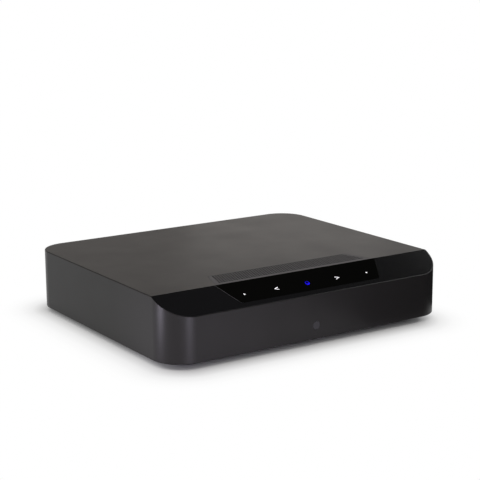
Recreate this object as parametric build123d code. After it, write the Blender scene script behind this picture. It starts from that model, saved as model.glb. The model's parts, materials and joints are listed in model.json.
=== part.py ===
from build123d import *
import math
import os

# Network music streamer, in millimetres, +Z up, front facing -Y.
# The origin lies on the surface that it stands on, under the middle of its overall size.
# A one-piece cover with a sloping front edge drops over a base plate that carries the
# boards, and a rear panel between the two frames every socket.

# Body
BODY_WIDTH = 219.0
BODY_DEPTH = 184.0
BODY_HEIGHT = 40.4
CORNER_RADIUS = 20.0
EDGE_ROUND = 0.6
COVER_WALL = 2.2
DECK_THICKNESS = 2.4
SLOPE_SETBACK = 21.1
SLOPE_DROP = 11.1
SLOPE_WALL = 1.8
FOOT_HEIGHT = 3.6
FOOT_RADIUS = 9.0
FOOT_INSET = 28.0
FOOT_RECESS = 0.8

# Clearances
FIT_GAP = 0.1
PASS_GAP = 0.3
THREAD_GAP = 0.05
OVERRUN = 2.0

# Fascia and touch panel on the slope
FASCIA_THICKNESS = 1.6
FASCIA_LIP = 0.7
TOUCH_PROUD = 0.15
TOUCH_REAR_WIDTH = 128.2
TOUCH_FRONT_WIDTH = 110.2
TOUCH_FRONT_MARGIN = 4.7
TOUCH_CORNER_RADIUS = 3.0
TOUCH_LEDGE = 3.5
TOUCH_LEDGE_CORNER_RADIUS = 1.5
SIGN_SLOPE_SHARE = 0.515
SIGN_SPAN_SHARE = 0.833
SIGN_DEPTH = 0.6
SIGN_PROUD = 0.04
DOT_RADIUS = 0.6
CHEVRON_LENGTH = 3.4
CHEVRON_HALF_HEIGHT = 1.35
CHEVRON_STROKE = 0.9
RING_RADIUS = 1.65
RING_HOLE_RADIUS = 0.8

# Vent grille in the deck
VENT_FRONT_WIDTH = 125.6
VENT_REAR_WIDTH = 110.2
VENT_LENGTH = 21.6
VENT_THICKNESS = 1.3
VENT_BORDER = 2.4
VENT_PITCH = 3.0
VENT_HOLE_RADIUS = 0.85
VENT_LEDGE = 1.5

# Infrared window and receiver in the front wall
WINDOW_HEIGHT = 9.05
WINDOW_RADIUS = 2.7
WINDOW_FLANGE = 0.9
WINDOW_FLANGE_THICKNESS = 0.8
RECEIVER_WIDTH = 5.6
RECEIVER_HEIGHT = 6.4
RECEIVER_DEPTH = 2.8
RECEIVER_LENS_RADIUS = 1.7
RECEIVER_BOARD_WIDTH = 16.0
RECEIVER_BOARD_HEIGHT = 14.0

# Base plate
BASE_THICKNESS = 2.0
BASE_SLOT_LENGTH = 22.0
BASE_SLOT_WIDTH = 2.0
BASE_SLOT_PITCH = 5.0
BASE_SLOT_ROWS = 7
BOSS_RADIUS = 3.4
BOSS_INSET = 9.5
BOSS_FRONT_SETBACK = 34.0
BOSS_REAR_SETBACK = 26.0
COVER_SCREW_RADIUS = 1.4
COVER_SCREW_LENGTH = 12.0
COVER_SCREW_HEAD_RADIUS = 2.6
COVER_SCREW_HEAD = 1.2

# Boards
BOARD_THICKNESS = 1.6
BOARD_BOSS_HEIGHT = 5.0
BOARD_SIDE_MARGIN = 15.5
BOARD_REAR_GAP = 0.4
BOARD_DEPTH = 118.0
BOARD_SPLIT_GAP = 5.0
POWER_BOARD_WIDTH = 44.2
BOARD_BOSS_RADIUS = 3.0
BOARD_BOSS_INSET = 4.5
BOARD_SCREW_RADIUS = 1.25
BOARD_SCREW_LENGTH = 5.4
BOARD_SCREW_HEAD_RADIUS = 2.4
BOARD_SCREW_HEAD = 1.6

# Touch board under the slope
TOUCH_BOARD_THICKNESS = 1.2
STAKE_RADIUS = 1.0
STAKE_HEAD = 0.7
LAMP_SIZE = 1.6
LAMP_HEIGHT = 0.7
WELL_RADIUS = 2.1
RIBBON_WIDTH = 12.0
RIBBON_THICKNESS = 0.3
RIBBON_BEND = 2.5
RIBBON_SOCKET_DEPTH = 4.0
RIBBON_SOCKET_HEIGHT = 2.4
TOUCH_RIBBON_X = 16.0

# Rear panel
PANEL_THICKNESS = 1.6
PANEL_SIDE_MARGIN = 23.5
PANEL_OVERLAP = 2.6
PANEL_TOP_MARGIN = 2.6
PANEL_SCREW_RADIUS = 1.4
PANEL_SCREW_HEAD_RADIUS = 2.5
PANEL_SCREW_HEAD = 1.3
PANEL_SCREW_LENGTH = 7.0

# Two-pin mains inlet
INLET_WIDTH = 22.0
INLET_HEIGHT = 16.0
INLET_DEPTH = 20.0
INLET_CAVITY_DEPTH = 12.5
INLET_PIN_SPACING = 8.6
INLET_LOBE_RADIUS = 4.15
INLET_WAIST_HEIGHT = 6.6
INLET_PIN_RADIUS = 1.2
INLET_PIN_REACH = 10.0
INLET_PIN_ROOT = 3.0

# Network socket
NETWORK_WIDTH = 16.0
NETWORK_HEIGHT = 13.6
NETWORK_DEPTH = 21.0
NETWORK_CAVITY_WIDTH = 11.9
NETWORK_CAVITY_HEIGHT = 7.2
NETWORK_CAVITY_DEPTH = 12.0
NETWORK_CAVITY_FLOOR = 3.4
NETWORK_LATCH_WIDTH = 6.2
NETWORK_LATCH_HEIGHT = 1.7
NETWORK_CONTACTS = 8
NETWORK_CONTACT_PITCH = 1.02
NETWORK_CONTACT_WIDTH = 0.45
NETWORK_CONTACT_LENGTH = 8.0
NETWORK_CONTACT_RISE = 0.5

# Flat four-contact data socket
DATA_WIDTH = 13.3
DATA_HEIGHT = 5.9
DATA_DEPTH = 14.0
DATA_SHELL = 0.4
DATA_TONGUE_WIDTH = 11.1
DATA_TONGUE_HEIGHT = 1.84
DATA_TONGUE_LENGTH = 10.0
DATA_ROOT_DEPTH = 3.0

# Digital video socket
VIDEO_WIDTH = 15.0
VIDEO_HEIGHT = 5.6
VIDEO_DEPTH = 12.0
VIDEO_SHELL = 0.5
VIDEO_BEVEL = 1.5
VIDEO_TONGUE_WIDTH = 11.0
VIDEO_TONGUE_HEIGHT = 1.1
VIDEO_TONGUE_LENGTH = 8.0
VIDEO_ROOT_DEPTH = 2.5

# Optical socket with a sprung shutter
OPTICAL_WIDTH = 11.6
OPTICAL_HEIGHT = 12.6
OPTICAL_DEPTH = 15.0
OPTICAL_MOUTH_WIDTH = 8.8
OPTICAL_MOUTH_HEIGHT = 9.6
OPTICAL_MOUTH_DEPTH = 11.5
OPTICAL_FLOOR = 1.5
SHUTTER_THICKNESS = 0.8
SHUTTER_GAP = 0.2
SHUTTER_INSET = 1.4
SHUTTER_PIN_RADIUS = 0.5
SHUTTER_PIN_REACH = 0.8
PIN_RUNNING_GAP = 0.06

# Phono sockets, stacked in pairs
PHONO_PITCH = 14.0
PHONO_BLOCK_WIDTH = 11.2
PHONO_BLOCK_DEPTH = 11.0
PHONO_FIRST_HEIGHT = 6.6
PHONO_TOP_COVERAGE = 5.8
PHONO_NOSE_RADIUS = 5.0
PHONO_COLLAR_RADIUS = 5.0
PHONO_COLLAR = 1.8
PHONO_BARREL_RADIUS = 4.15
PHONO_ROOT_RADIUS = 3.95
PHONO_BARREL = 9.4
PHONO_BARREL_WALL = 0.7
PHONO_CORE_RADIUS = 3.4
PHONO_HOLE_RADIUS = 1.6
PHONO_HOLE_DEPTH = 14.0
PHONO_CORE_SETBACK = 1.2

# Jack sockets of 3.5 mm
JACK_WIDTH = 7.6
JACK_DEPTH = 14.0
JACK_HEIGHT = 8.0
JACK_PITCH = 12.0
JACK_FIRST_HEIGHT = 5.0
JACK_BORE_RADIUS = 1.8
JACK_BORE_DEPTH = 12.0
JACK_NOSE_RADIUS = 3.0
JACK_NUT_RADIUS = 4.0
JACK_NUT_THICKNESS = 1.2

# Reset button and its switch
RESET_HEIGHT = 6.0
RESET_RADIUS = 1.6
RESET_GAP = 0.3
RESET_PROUD = 0.6
RESET_TRAVEL = 0.4
RESET_STEM = 0.9
RESET_SKIRT_RADIUS = 2.6
RESET_SKIRT = 0.8
SWITCH_SIZE = 6.0
SWITCH_DEPTH = 4.5
SWITCH_SLACK = 0.3

# Parts on the main board
CHIP_SIDE = 21.0
CHIP_HEIGHT = 1.4
PAD_SIDE = 18.0
PAD_HEIGHT = 0.8
SINK_SIDE = 36.0
SINK_BASE = 3.0
SINK_FIN_HEIGHT = 9.0
SINK_FIN_THICKNESS = 1.2
SINK_FINS = 9
MEMORY_WIDTH = 12.0
MEMORY_DEPTH = 8.0
MEMORY_HEIGHT = 1.1
SMALL_CHIP_SIDE = 7.0
SMALL_CHIP_HEIGHT = 1.2
SMALL_CAPACITOR_RADIUS = 2.6
SMALL_CAPACITOR_HEIGHT = 6.5
MODULE_WIDTH = 26.0
MODULE_DEPTH = 20.0
MODULE_HEIGHT = 1.2
SHIELD_MARGIN = 2.0
SHIELD_HEIGHT = 2.6
SHIELD_WALL = 0.4
ANTENNA_LENGTH = 34.0
ANTENNA_HEIGHT = 9.0
ANTENNA_THICKNESS = 1.0
ANTENNA_RISE = 14.0
LEAD_RADIUS = 0.6
LEAD_BEND = 5.0

# Parts on the power board
SHEET_THICKNESS = 0.5
FUSE_RADIUS = 2.6
FUSE_LENGTH = 20.0
FUSE_CLIP = 3.0
FILTER_WIDTH = 16.0
FILTER_DEPTH = 12.0
FILTER_HEIGHT = 15.0
FILTER_COIL_RADIUS = 6.4
FILTER_COIL_LENGTH = 5.0
BULK_RADIUS = 8.0
BULK_HEIGHT = 22.0
TRANSFORMER_WIDTH = 24.0
TRANSFORMER_DEPTH = 20.0
TRANSFORMER_HEIGHT = 18.0
CORE_WIDTH = 12.0
CORE_OVERHANG = 2.5
PLATE_LENGTH = 28.0
PLATE_HEIGHT = 20.0
PLATE_THICKNESS = 2.0
TRANSISTOR_WIDTH = 10.0
TRANSISTOR_HEIGHT = 14.0
TRANSISTOR_DEPTH = 4.4
OUTPUT_CAPACITOR_RADIUS = 4.0
OUTPUT_CAPACITOR_HEIGHT = 14.0
PLUG_WIDTH = 8.0
PLUG_LENGTH = 12.0
PLUG_HEIGHT = 6.0
WIRE_RADIUS = 0.8
WIRE_BEND = 4.0
WIRE_PITCH = 2.5
WIRES = 4
WIRE_RISE = 6.0

# Planes and limits that the parts share
HALF_WIDTH = BODY_WIDTH / 2
REAR_REACH = PHONO_COLLAR + PHONO_BARREL - COVER_WALL
FRONT_Y = -(BODY_DEPTH + REAR_REACH) / 2
REAR_Y = FRONT_Y + BODY_DEPTH
MIDDLE_Y = (FRONT_Y + REAR_Y) / 2
BOTTOM_Z = FOOT_HEIGHT
TOP_Z = BOTTOM_Z + BODY_HEIGHT
DECK_UNDER_Z = TOP_Z - DECK_THICKNESS
BASE_TOP_Z = BOTTOM_Z + BASE_THICKNESS
RIDGE_Y = FRONT_Y + SLOPE_SETBACK
SLOPE_LENGTH = math.hypot(SLOPE_SETBACK, SLOPE_DROP)
INNER_SIDE = HALF_WIDTH - COVER_WALL
INNER_FRONT_Y = FRONT_Y + COVER_WALL
BOARD_BOTTOM_Z = BASE_TOP_Z + BOARD_BOSS_HEIGHT
BOARD_TOP_Z = BOARD_BOTTOM_Z + BOARD_THICKNESS
PANEL_FACE_Y = REAR_Y - COVER_WALL
PANEL_BACK_Y = PANEL_FACE_Y - PANEL_THICKNESS
PANEL_HALF = HALF_WIDTH - PANEL_SIDE_MARGIN
PANEL_OPENING_TOP_Z = DECK_UNDER_Z - PANEL_TOP_MARGIN
BOARD_REAR_Y = PANEL_BACK_Y - BOARD_REAR_GAP
BOARD_FRONT_Y = BOARD_REAR_Y - BOARD_DEPTH
BOARD_HALF = INNER_SIDE - BOARD_SIDE_MARGIN
SPLIT_X = BOARD_HALF - POWER_BOARD_WIDTH
MAIN_X = (-BOARD_HALF, SPLIT_X - BOARD_SPLIT_GAP)
POWER_X = (SPLIT_X, BOARD_HALF)

RIDGE = (0, RIDGE_Y, TOP_Z)
SLOPE_PLANE = Plane(origin=RIDGE, x_dir=(1, 0, 0), z_dir=(0, -SLOPE_DROP, SLOPE_SETBACK))
DECK_PLANE = Plane.XY.offset(TOP_Z)
REARWARD = (0, 1, 0)
UPWARD = (0, 0, 1)

# The row along the rear panel from -X to +X: each thing's width, then the gap after it
# as a share of the width to spare
SOCKET_ROW = (
    ("left_ear", 2 * PANEL_SCREW_HEAD_RADIUS),
    ("reset", SWITCH_SIZE),
    ("control_jacks", JACK_WIDTH),
    ("input_jack", JACK_WIDTH),
    ("line_pair", PHONO_BLOCK_WIDTH),
    ("digital_pair", PHONO_BLOCK_WIDTH),
    ("optical", OPTICAL_WIDTH),
    ("video", VIDEO_WIDTH),
    ("data", DATA_WIDTH),
    ("network", NETWORK_WIDTH),
    ("inlet", INLET_WIDTH),
    ("right_ear", 2 * PANEL_SCREW_HEAD_RADIUS),
)
ROW_GAP_SHARES = (0.05, 0.025, 0.055, 0.065, 0.065, 0.06, 0.055, 0.09, 0.095, 0.385, 0.055, 0)


# Shapes that many parts use
def block(x, y, z):
    """A box between pairs of limits."""
    box = Box(x[1] - x[0], y[1] - y[0], z[1] - z[0])
    return Pos((x[0] + x[1]) / 2, (y[0] + y[1]) / 2, (z[0] + z[1]) / 2) * box


def seated(x, y, z, width, depth, height):
    """A box that stands on height z, centred on x and y."""
    return block((x - width / 2, x + width / 2), (y - depth / 2, y + depth / 2), (z, z + height))


def rod(start, direction, radius, length):
    """A round bar from a point along a direction."""
    bar = Cylinder(radius, length, align=(Align.CENTER, Align.CENTER, Align.MIN))
    return Plane(origin=start, z_dir=direction) * bar


def group(parts):
    """Separate solids kept together in one node."""
    return Compound([solid for part in parts for solid in part.solids()])


def body_prism(inset, low, high):
    """The rounded plan of the body, drawn in by an inset, between two heights."""
    plan = RectangleRounded(BODY_WIDTH - 2 * inset, BODY_DEPTH - 2 * inset, CORNER_RADIUS - inset)
    return Pos(0, MIDDLE_Y, low) * extrude(plan, amount=high - low)


def slope_height(y, depth):
    """Height of the plane that lies a depth below the slope."""
    rise = (y - RIDGE_Y) * SLOPE_DROP / SLOPE_SETBACK
    return TOP_Z + rise - depth * SLOPE_LENGTH / SLOPE_SETBACK


def side_prism(points, half_width):
    """A profile of Y and Z points carried across the body."""
    profile = Plane.YZ.offset(-half_width) * Polygon(*points)
    return extrude(profile, amount=2 * half_width, dir=(1, 0, 0))


def over_slope(depth):
    """All that lies above the plane a depth below the slope."""
    front = FRONT_Y - OVERRUN
    high = TOP_Z + OVERRUN
    back = RIDGE_Y + (high - slope_height(RIDGE_Y, depth)) * SLOPE_SETBACK / SLOPE_DROP
    points = ((front, slope_height(front, depth)), (back, high), (front, high))
    return side_prism(points, HALF_WIDTH + OVERRUN)


def slope_slab(shallow, deep, rear):
    """The layer between two depths under the slope, up to a rear limit."""
    front = FRONT_Y - OVERRUN
    points = (
        (front, slope_height(front, deep)),
        (rear, slope_height(rear, deep)),
        (rear, slope_height(rear, shallow)),
        (front, slope_height(front, shallow)),
    )
    return side_prism(points, HALF_WIDTH + OVERRUN)


def touch_outline(grow, corner):
    """The touch panel's outline on the slope, grown at its sides and its front."""
    front = -(SLOPE_LENGTH - TOUCH_FRONT_MARGIN) - grow
    taper = touch_taper()
    rear_half = TOUCH_REAR_WIDTH / 2 + grow + OVERRUN * taper
    front_half = TOUCH_REAR_WIDTH / 2 + grow + front * taper
    points = ((-rear_half, OVERRUN), (-front_half, front), (front_half, front), (rear_half, OVERRUN))
    outline = Polygon(*points)
    corners = outline.vertices().sort_by(Axis.Y)[:2]
    return fillet(corners, corner)


def touch_column(grow, corner, depth):
    """The touch panel's outline carried through the slope, above and below it."""
    face = SLOPE_PLANE * touch_outline(grow, corner)
    return extrude(face, amount=OVERRUN) + extrude(face, amount=-depth)


def vent_outline(grow):
    """The vent's outline on the deck, from the ridge to its narrower rear edge."""
    taper = (VENT_FRONT_WIDTH - VENT_REAR_WIDTH) / 2 / VENT_LENGTH
    front = RIDGE_Y - grow
    rear = RIDGE_Y + VENT_LENGTH + grow
    front_half = VENT_FRONT_WIDTH / 2 + grow * (1 + taper)
    rear_half = VENT_REAR_WIDTH / 2 + grow * (1 - taper)
    return Polygon((-front_half, front), (front_half, front), (rear_half, rear), (-rear_half, rear))


def row_places():
    """The middle of each thing in the rear panel's row, by name."""
    spare = 2 * (PANEL_HALF - PASS_GAP) - sum(width for name, width in SOCKET_ROW)
    edge = PASS_GAP - PANEL_HALF
    places = {}
    for (name, width), gap_share in zip(SOCKET_ROW, ROW_GAP_SHARES):
        places[name] = edge + width / 2
        edge += width + gap_share * spare
    return places


ROW_PLACES = row_places()


def at_panel(name):
    """A place across the rear panel."""
    return ROW_PLACES[name]


def on_board(limits, x_share, y_share):
    """A point on a board, by shares of its width and of its depth from the front."""
    x = limits[0] + x_share * (limits[1] - limits[0])
    y = BOARD_FRONT_Y + y_share * BOARD_DEPTH
    return x, y


def tube(points, radius, bend):
    """A wire of round section along a route with rounded corners."""
    path = FilletPolyline(*points, radius=bend)
    section = Plane(origin=path @ 0, z_dir=path % 0) * Circle(radius)
    return sweep(section, path=path)


def flat_ribbon(points, x, width):
    """A flat cable along Y and Z points, at a place across the body."""
    path = FilletPolyline(*[(x, y, z) for y, z in points], radius=RIBBON_BEND)
    section = Plane(origin=path @ 0, x_dir=(1, 0, 0), z_dir=path % 0) * Rectangle(width, RIBBON_THICKNESS)
    return sweep(section, path=path)


# Casing
def cover_boss_places():
    """Centres of the six screw bosses that join cover and base."""
    side = INNER_SIDE - BOSS_INSET
    front = FRONT_Y + BOSS_FRONT_SETBACK
    rear = REAR_Y - BOSS_REAR_SETBACK
    return [(x, y) for x in (-side, side) for y in (front, (front + rear) / 2, rear)]


def foot_places():
    side = HALF_WIDTH - FOOT_INSET
    return [(x, y) for x in (-side, side) for y in (FRONT_Y + FOOT_INSET, REAR_Y - FOOT_INSET)]


def stake_places():
    """Places of the heat stakes, along the slope and across it."""
    touch_length = SLOPE_LENGTH - TOUCH_FRONT_MARGIN
    side = TOUCH_REAR_WIDTH / 2 + TOUCH_LEDGE
    return [(x, -touch_length / 2) for x in (-side, side)]


def sign_point():
    return -SIGN_SLOPE_SHARE * SLOPE_LENGTH


def touch_taper():
    """How much narrower half the touch panel gets for each unit down the slope."""
    return (TOUCH_REAR_WIDTH - TOUCH_FRONT_WIDTH) / 2 / (SLOPE_LENGTH - TOUCH_FRONT_MARGIN)


def sign_spacing():
    """Signs spread over a share of the touch panel's width at their own height."""
    half = TOUCH_REAR_WIDTH / 2 + sign_point() * touch_taper()
    return SIGN_SPAN_SHARE * half / 2


def top_cover():
    blank = body_prism(0, BOTTOM_Z, TOP_Z)
    rim = blank.faces().sort_by(Axis.Z)
    blank = fillet(rim[0].edges() + rim[-1].edges(), EDGE_ROUND)
    shell_depth = FASCIA_THICKNESS + SLOPE_WALL
    hollow = body_prism(COVER_WALL, BOTTOM_Z - OVERRUN, DECK_UNDER_Z) - over_slope(shell_depth)
    cover = blank - over_slope(0) - hollow
    seat = slope_slab(-OVERRUN, FASCIA_THICKNESS, RIDGE_Y)
    cover -= seat & body_prism(FASCIA_LIP, BOTTOM_Z, TOP_Z + OVERRUN)
    window = touch_column(-TOUCH_LEDGE, TOUCH_LEDGE_CORNER_RADIUS, shell_depth + OVERRUN)
    cover -= window & block(
        (-HALF_WIDTH, HALF_WIDTH), (FRONT_Y, RIDGE_Y - TOUCH_LEDGE), (BOTTOM_Z, TOP_Z + OVERRUN)
    )
    cover -= extrude(DECK_PLANE * vent_outline(0), amount=-VENT_THICKNESS)
    cover -= extrude(DECK_PLANE * vent_outline(-VENT_LEDGE), amount=-DECK_THICKNESS - OVERRUN)
    for x, y in cover_boss_places():
        cover += rod((x, y, BASE_TOP_Z), UPWARD, BOSS_RADIUS, DECK_UNDER_Z - BASE_TOP_Z)
        pilot = COVER_SCREW_RADIUS + THREAD_GAP
        cover -= rod((x, y, BASE_TOP_Z), UPWARD, pilot, COVER_SCREW_LENGTH)
    for x, y in stake_places():
        stake = Cylinder(STAKE_RADIUS, TOUCH_BOARD_THICKNESS + STAKE_HEAD)
        middle = -shell_depth - (TOUCH_BOARD_THICKNESS + STAKE_HEAD) / 2
        cover += SLOPE_PLANE * Pos(x, y, middle) * stake
    eye = (0, FRONT_Y - OVERRUN, BOTTOM_Z + WINDOW_HEIGHT)
    cover -= rod(eye, REARWARD, WINDOW_RADIUS + FIT_GAP, COVER_WALL + 2 * OVERRUN)
    cover -= block(
        (-PANEL_HALF, PANEL_HALF),
        (PANEL_FACE_Y - OVERRUN, REAR_Y + OVERRUN),
        (BOTTOM_Z - OVERRUN, PANEL_OPENING_TOP_Z),
    )
    return cover


def base_slots():
    """Vent slots, in two banks beside the middle of the base plate."""
    slots = []
    for side in (-1, 1):
        for row in range(BASE_SLOT_ROWS):
            y = MIDDLE_Y + (row - (BASE_SLOT_ROWS - 1) / 2) * BASE_SLOT_PITCH
            slot = SlotOverall(BASE_SLOT_LENGTH, BASE_SLOT_WIDTH)
            depth = BASE_THICKNESS + 2 * OVERRUN
            place = Pos(side * BASE_SLOT_LENGTH * 3 / 4, y, BOTTOM_Z - OVERRUN)
            slots.append(place * extrude(slot, amount=depth))
    return slots


def board_screw_places(limits):
    """Corner screws of a board."""
    x_low, x_high = limits[0] + BOARD_BOSS_INSET, limits[1] - BOARD_BOSS_INSET
    y_low = BOARD_FRONT_Y + BOARD_BOSS_INSET
    y_high = BOARD_REAR_Y - NETWORK_DEPTH - BOARD_BOSS_INSET
    return [(x, y) for x in (x_low, x_high) for y in (y_low, y_high)]


def base_plate():
    plate = body_prism(COVER_WALL + PASS_GAP, BOTTOM_Z, BASE_TOP_Z)
    half = PANEL_HALF - PASS_GAP
    plate += block((-half, half), (PANEL_FACE_Y - OVERRUN, REAR_Y), (BOTTOM_Z, BASE_TOP_Z))
    for x, y in board_screw_places(MAIN_X) + board_screw_places(POWER_X):
        plate += rod((x, y, BASE_TOP_Z), UPWARD, BOARD_BOSS_RADIUS, BOARD_BOSS_HEIGHT)
        pilot = BOARD_SCREW_RADIUS + THREAD_GAP
        depth = BOARD_SCREW_LENGTH - BOARD_THICKNESS
        plate -= rod((x, y, BOARD_BOTTOM_Z - depth), UPWARD, pilot, depth + OVERRUN)
    for slot in base_slots():
        plate -= slot
    for x, y in cover_boss_places():
        hole = COVER_SCREW_RADIUS + THREAD_GAP
        plate -= rod((x, y, BOTTOM_Z - OVERRUN), UPWARD, hole, BASE_THICKNESS + 2 * OVERRUN)
        head = COVER_SCREW_HEAD_RADIUS + PASS_GAP
        plate -= rod((x, y, BOTTOM_Z - OVERRUN), UPWARD, head, COVER_SCREW_HEAD + OVERRUN)
    for x, y in foot_places():
        recess = FOOT_RADIUS + FIT_GAP
        plate -= rod((x, y, BOTTOM_Z - OVERRUN), UPWARD, recess, FOOT_RECESS + OVERRUN)
    for x, z in panel_screw_places():
        plate += ear_block(x, BOTTOM_Z, z + PANEL_SCREW_HEAD_RADIUS, 0)
        pilot = PANEL_SCREW_RADIUS + THREAD_GAP
        start = (x, PANEL_BACK_Y - PANEL_SCREW_LENGTH, z)
        plate -= rod(start, REARWARD, pilot, PANEL_SCREW_LENGTH)
    return plate


def ear_block(x, low, high, grow):
    """The upright ear behind one end of the rear panel, grown for a board's notch."""
    half = PANEL_SCREW_HEAD_RADIUS + grow
    y = (PANEL_BACK_Y - PANEL_SCREW_LENGTH - grow, PANEL_BACK_Y + grow)
    return block((x - half, x + half), y, (low, high))


def rubber_feet():
    feet = []
    for x, y in foot_places():
        foot = rod((x, y, 0), UPWARD, FOOT_RADIUS, FOOT_HEIGHT + FOOT_RECESS)
        feet.append(fillet(foot.edges().group_by(Axis.Z)[0], EDGE_ROUND))
    return group(feet)


def panhead(x, y, z, direction, shaft, head, head_height, length):
    """A screw that starts under its head and runs along a direction."""
    back = tuple(-part for part in direction)
    screw = rod((x, y, z), direction, shaft, length) + rod((x, y, z), back, head, head_height)
    top = Plane(origin=(x, y, z), z_dir=back).offset(head_height)
    for turn in (0, 90):
        cross = Box(head, shaft / 2, head_height / 2)
        screw -= top * Rot(0, 0, turn) * cross
    return screw


def casing_screws():
    """Screws up into the cover's bosses, and screws through the rear panel."""
    screws = []
    for x, y in cover_boss_places():
        start = BOTTOM_Z + COVER_SCREW_HEAD
        length = COVER_SCREW_LENGTH - THREAD_GAP
        head = (COVER_SCREW_RADIUS, COVER_SCREW_HEAD_RADIUS, COVER_SCREW_HEAD)
        screws.append(panhead(x, y, start, UPWARD, *head, length))
    for x, z in panel_screw_places():
        head = (PANEL_SCREW_RADIUS, PANEL_SCREW_HEAD_RADIUS, PANEL_SCREW_HEAD)
        screws.append(panhead(x, PANEL_FACE_Y, z, (0, -1, 0), *head, PANEL_SCREW_LENGTH))
    return group(screws)


def board_screws():
    screws = []
    for x, y in board_screw_places(MAIN_X) + board_screw_places(POWER_X):
        length = BOARD_SCREW_LENGTH - THREAD_GAP
        head = (BOARD_SCREW_RADIUS, BOARD_SCREW_HEAD_RADIUS, BOARD_SCREW_HEAD)
        screws.append(panhead(x, y, BOARD_TOP_Z, (0, 0, -1), *head, length))
    return group(screws)


def panel_screw_places():
    """Screws at both ends of the rear panel, into ears of the base plate."""
    z = (BASE_TOP_Z + PANEL_OPENING_TOP_Z) / 2
    return [(at_panel("left_ear"), z), (at_panel("right_ear"), z)]


def rear_panel():
    half = PANEL_HALF + PANEL_OVERLAP
    panel = block(
        (-half, half), (PANEL_BACK_Y, PANEL_FACE_Y), (BASE_TOP_Z, DECK_UNDER_Z - PASS_GAP)
    )
    for cut in panel_cuts():
        panel -= cut
    for x, z in panel_screw_places():
        hole = PANEL_SCREW_RADIUS + THREAD_GAP
        panel -= rod((x, PANEL_BACK_Y - OVERRUN, z), REARWARD, hole, PANEL_THICKNESS + 2 * OVERRUN)
    return panel


# Slope: fascia, touch panel and signs
def slope_fascia():
    plate = slope_slab(0, FASCIA_THICKNESS, RIDGE_Y - FIT_GAP)
    plate &= body_prism(FASCIA_LIP + FIT_GAP, BOTTOM_Z, TOP_Z + OVERRUN)
    return plate - touch_column(FIT_GAP, TOUCH_CORNER_RADIUS + FIT_GAP, FASCIA_THICKNESS + OVERRUN)


def touch_blank():
    """The touch panel without its signs, a little proud of the fascia but not of the deck."""
    slab = slope_slab(-TOUCH_PROUD, FASCIA_THICKNESS, RIDGE_Y - FIT_GAP)
    slab &= body_prism(0, BOTTOM_Z, TOP_Z)
    return slab & touch_column(0, TOUCH_CORNER_RADIUS, FASCIA_THICKNESS + OVERRUN)


def chevron(direction):
    """An arrowhead outline whose tip points along -X or +X."""
    tip = -direction * CHEVRON_LENGTH / 2
    tail = direction * CHEVRON_LENGTH / 2
    notch = tip + direction * CHEVRON_STROKE * CHEVRON_LENGTH / CHEVRON_HALF_HEIGHT / 2
    points = [
        (tip, 0),
        (tail, CHEVRON_HALF_HEIGHT),
        (tail, CHEVRON_HALF_HEIGHT - CHEVRON_STROKE),
        (notch, 0),
        (tail, CHEVRON_STROKE - CHEVRON_HALF_HEIGHT),
        (tail, -CHEVRON_HALF_HEIGHT),
    ]
    return Polygon(*points)


def sign_outlines():
    """The white signs, each at its place across the panel."""
    inner, outer = sign_spacing(), 2 * sign_spacing()
    return [
        Pos(-outer, sign_point()) * Circle(DOT_RADIUS),
        Pos(-inner, sign_point()) * chevron(1),
        Pos(inner, sign_point()) * chevron(-1),
        Pos(outer, sign_point()) * Circle(DOT_RADIUS),
    ]


def sign_solid(outline, low, high):
    """A sign from one depth to another, measured up from the slope."""
    return extrude(SLOPE_PLANE.offset(low) * outline, amount=high - low, dir=SLOPE_PLANE.z_dir)


def ring_outline():
    ring = Circle(RING_RADIUS) - Circle(RING_HOLE_RADIUS)
    return Pos(0, sign_point()) * ring


def touch_panel():
    panel = touch_blank()
    for outline in sign_outlines() + [ring_outline()]:
        panel -= sign_solid(outline, TOUCH_PROUD - SIGN_DEPTH, TOUCH_PROUD + OVERRUN)
    return panel


def touch_signs():
    low, high = TOUCH_PROUD - SIGN_DEPTH, TOUCH_PROUD + SIGN_PROUD
    return group([sign_solid(outline, low, high) for outline in sign_outlines()])


def status_ring():
    return sign_solid(ring_outline(), TOUCH_PROUD - SIGN_DEPTH, TOUCH_PROUD + SIGN_PROUD)


def sign_centres():
    return [step * sign_spacing() for step in (-2, -1, 0, 1, 2)]


def light_guide():
    """Frame that fills the cover's window and keeps each lamp's light to its sign."""
    shell_depth = FASCIA_THICKNESS + SLOPE_WALL
    frame = slope_slab(FASCIA_THICKNESS, shell_depth, RIDGE_Y - TOUCH_LEDGE - FIT_GAP)
    frame &= touch_column(-TOUCH_LEDGE - FIT_GAP, TOUCH_LEDGE_CORNER_RADIUS, shell_depth + OVERRUN)
    for x in sign_centres():
        well = Pos(x, sign_point(), -shell_depth) * Cylinder(WELL_RADIUS, shell_depth * 2)
        frame -= SLOPE_PLANE * well
    return frame


def touch_board():
    shell_depth = FASCIA_THICKNESS + SLOPE_WALL
    touch_length = SLOPE_LENGTH - TOUCH_FRONT_MARGIN
    width = TOUCH_REAR_WIDTH + 4 * TOUCH_LEDGE
    height = touch_length - TOUCH_LEDGE
    middle = -shell_depth - TOUCH_BOARD_THICKNESS / 2
    board = Pos(0, -touch_length / 2, middle) * Box(width, height, TOUCH_BOARD_THICKNESS)
    for x, y in stake_places():
        hole = Cylinder(STAKE_RADIUS + FIT_GAP, TOUCH_BOARD_THICKNESS * 2)
        board -= Pos(x, y, middle) * hole
    return SLOPE_PLANE * board


def indicator_lamps():
    base = -(FASCIA_THICKNESS + SLOPE_WALL)
    lamps = []
    for x in sign_centres():
        lamp = Pos(x, sign_point(), base + LAMP_HEIGHT / 2) * Box(LAMP_SIZE, LAMP_SIZE, LAMP_HEIGHT)
        lamps.append(SLOPE_PLANE * lamp)
    return group(lamps)


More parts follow.
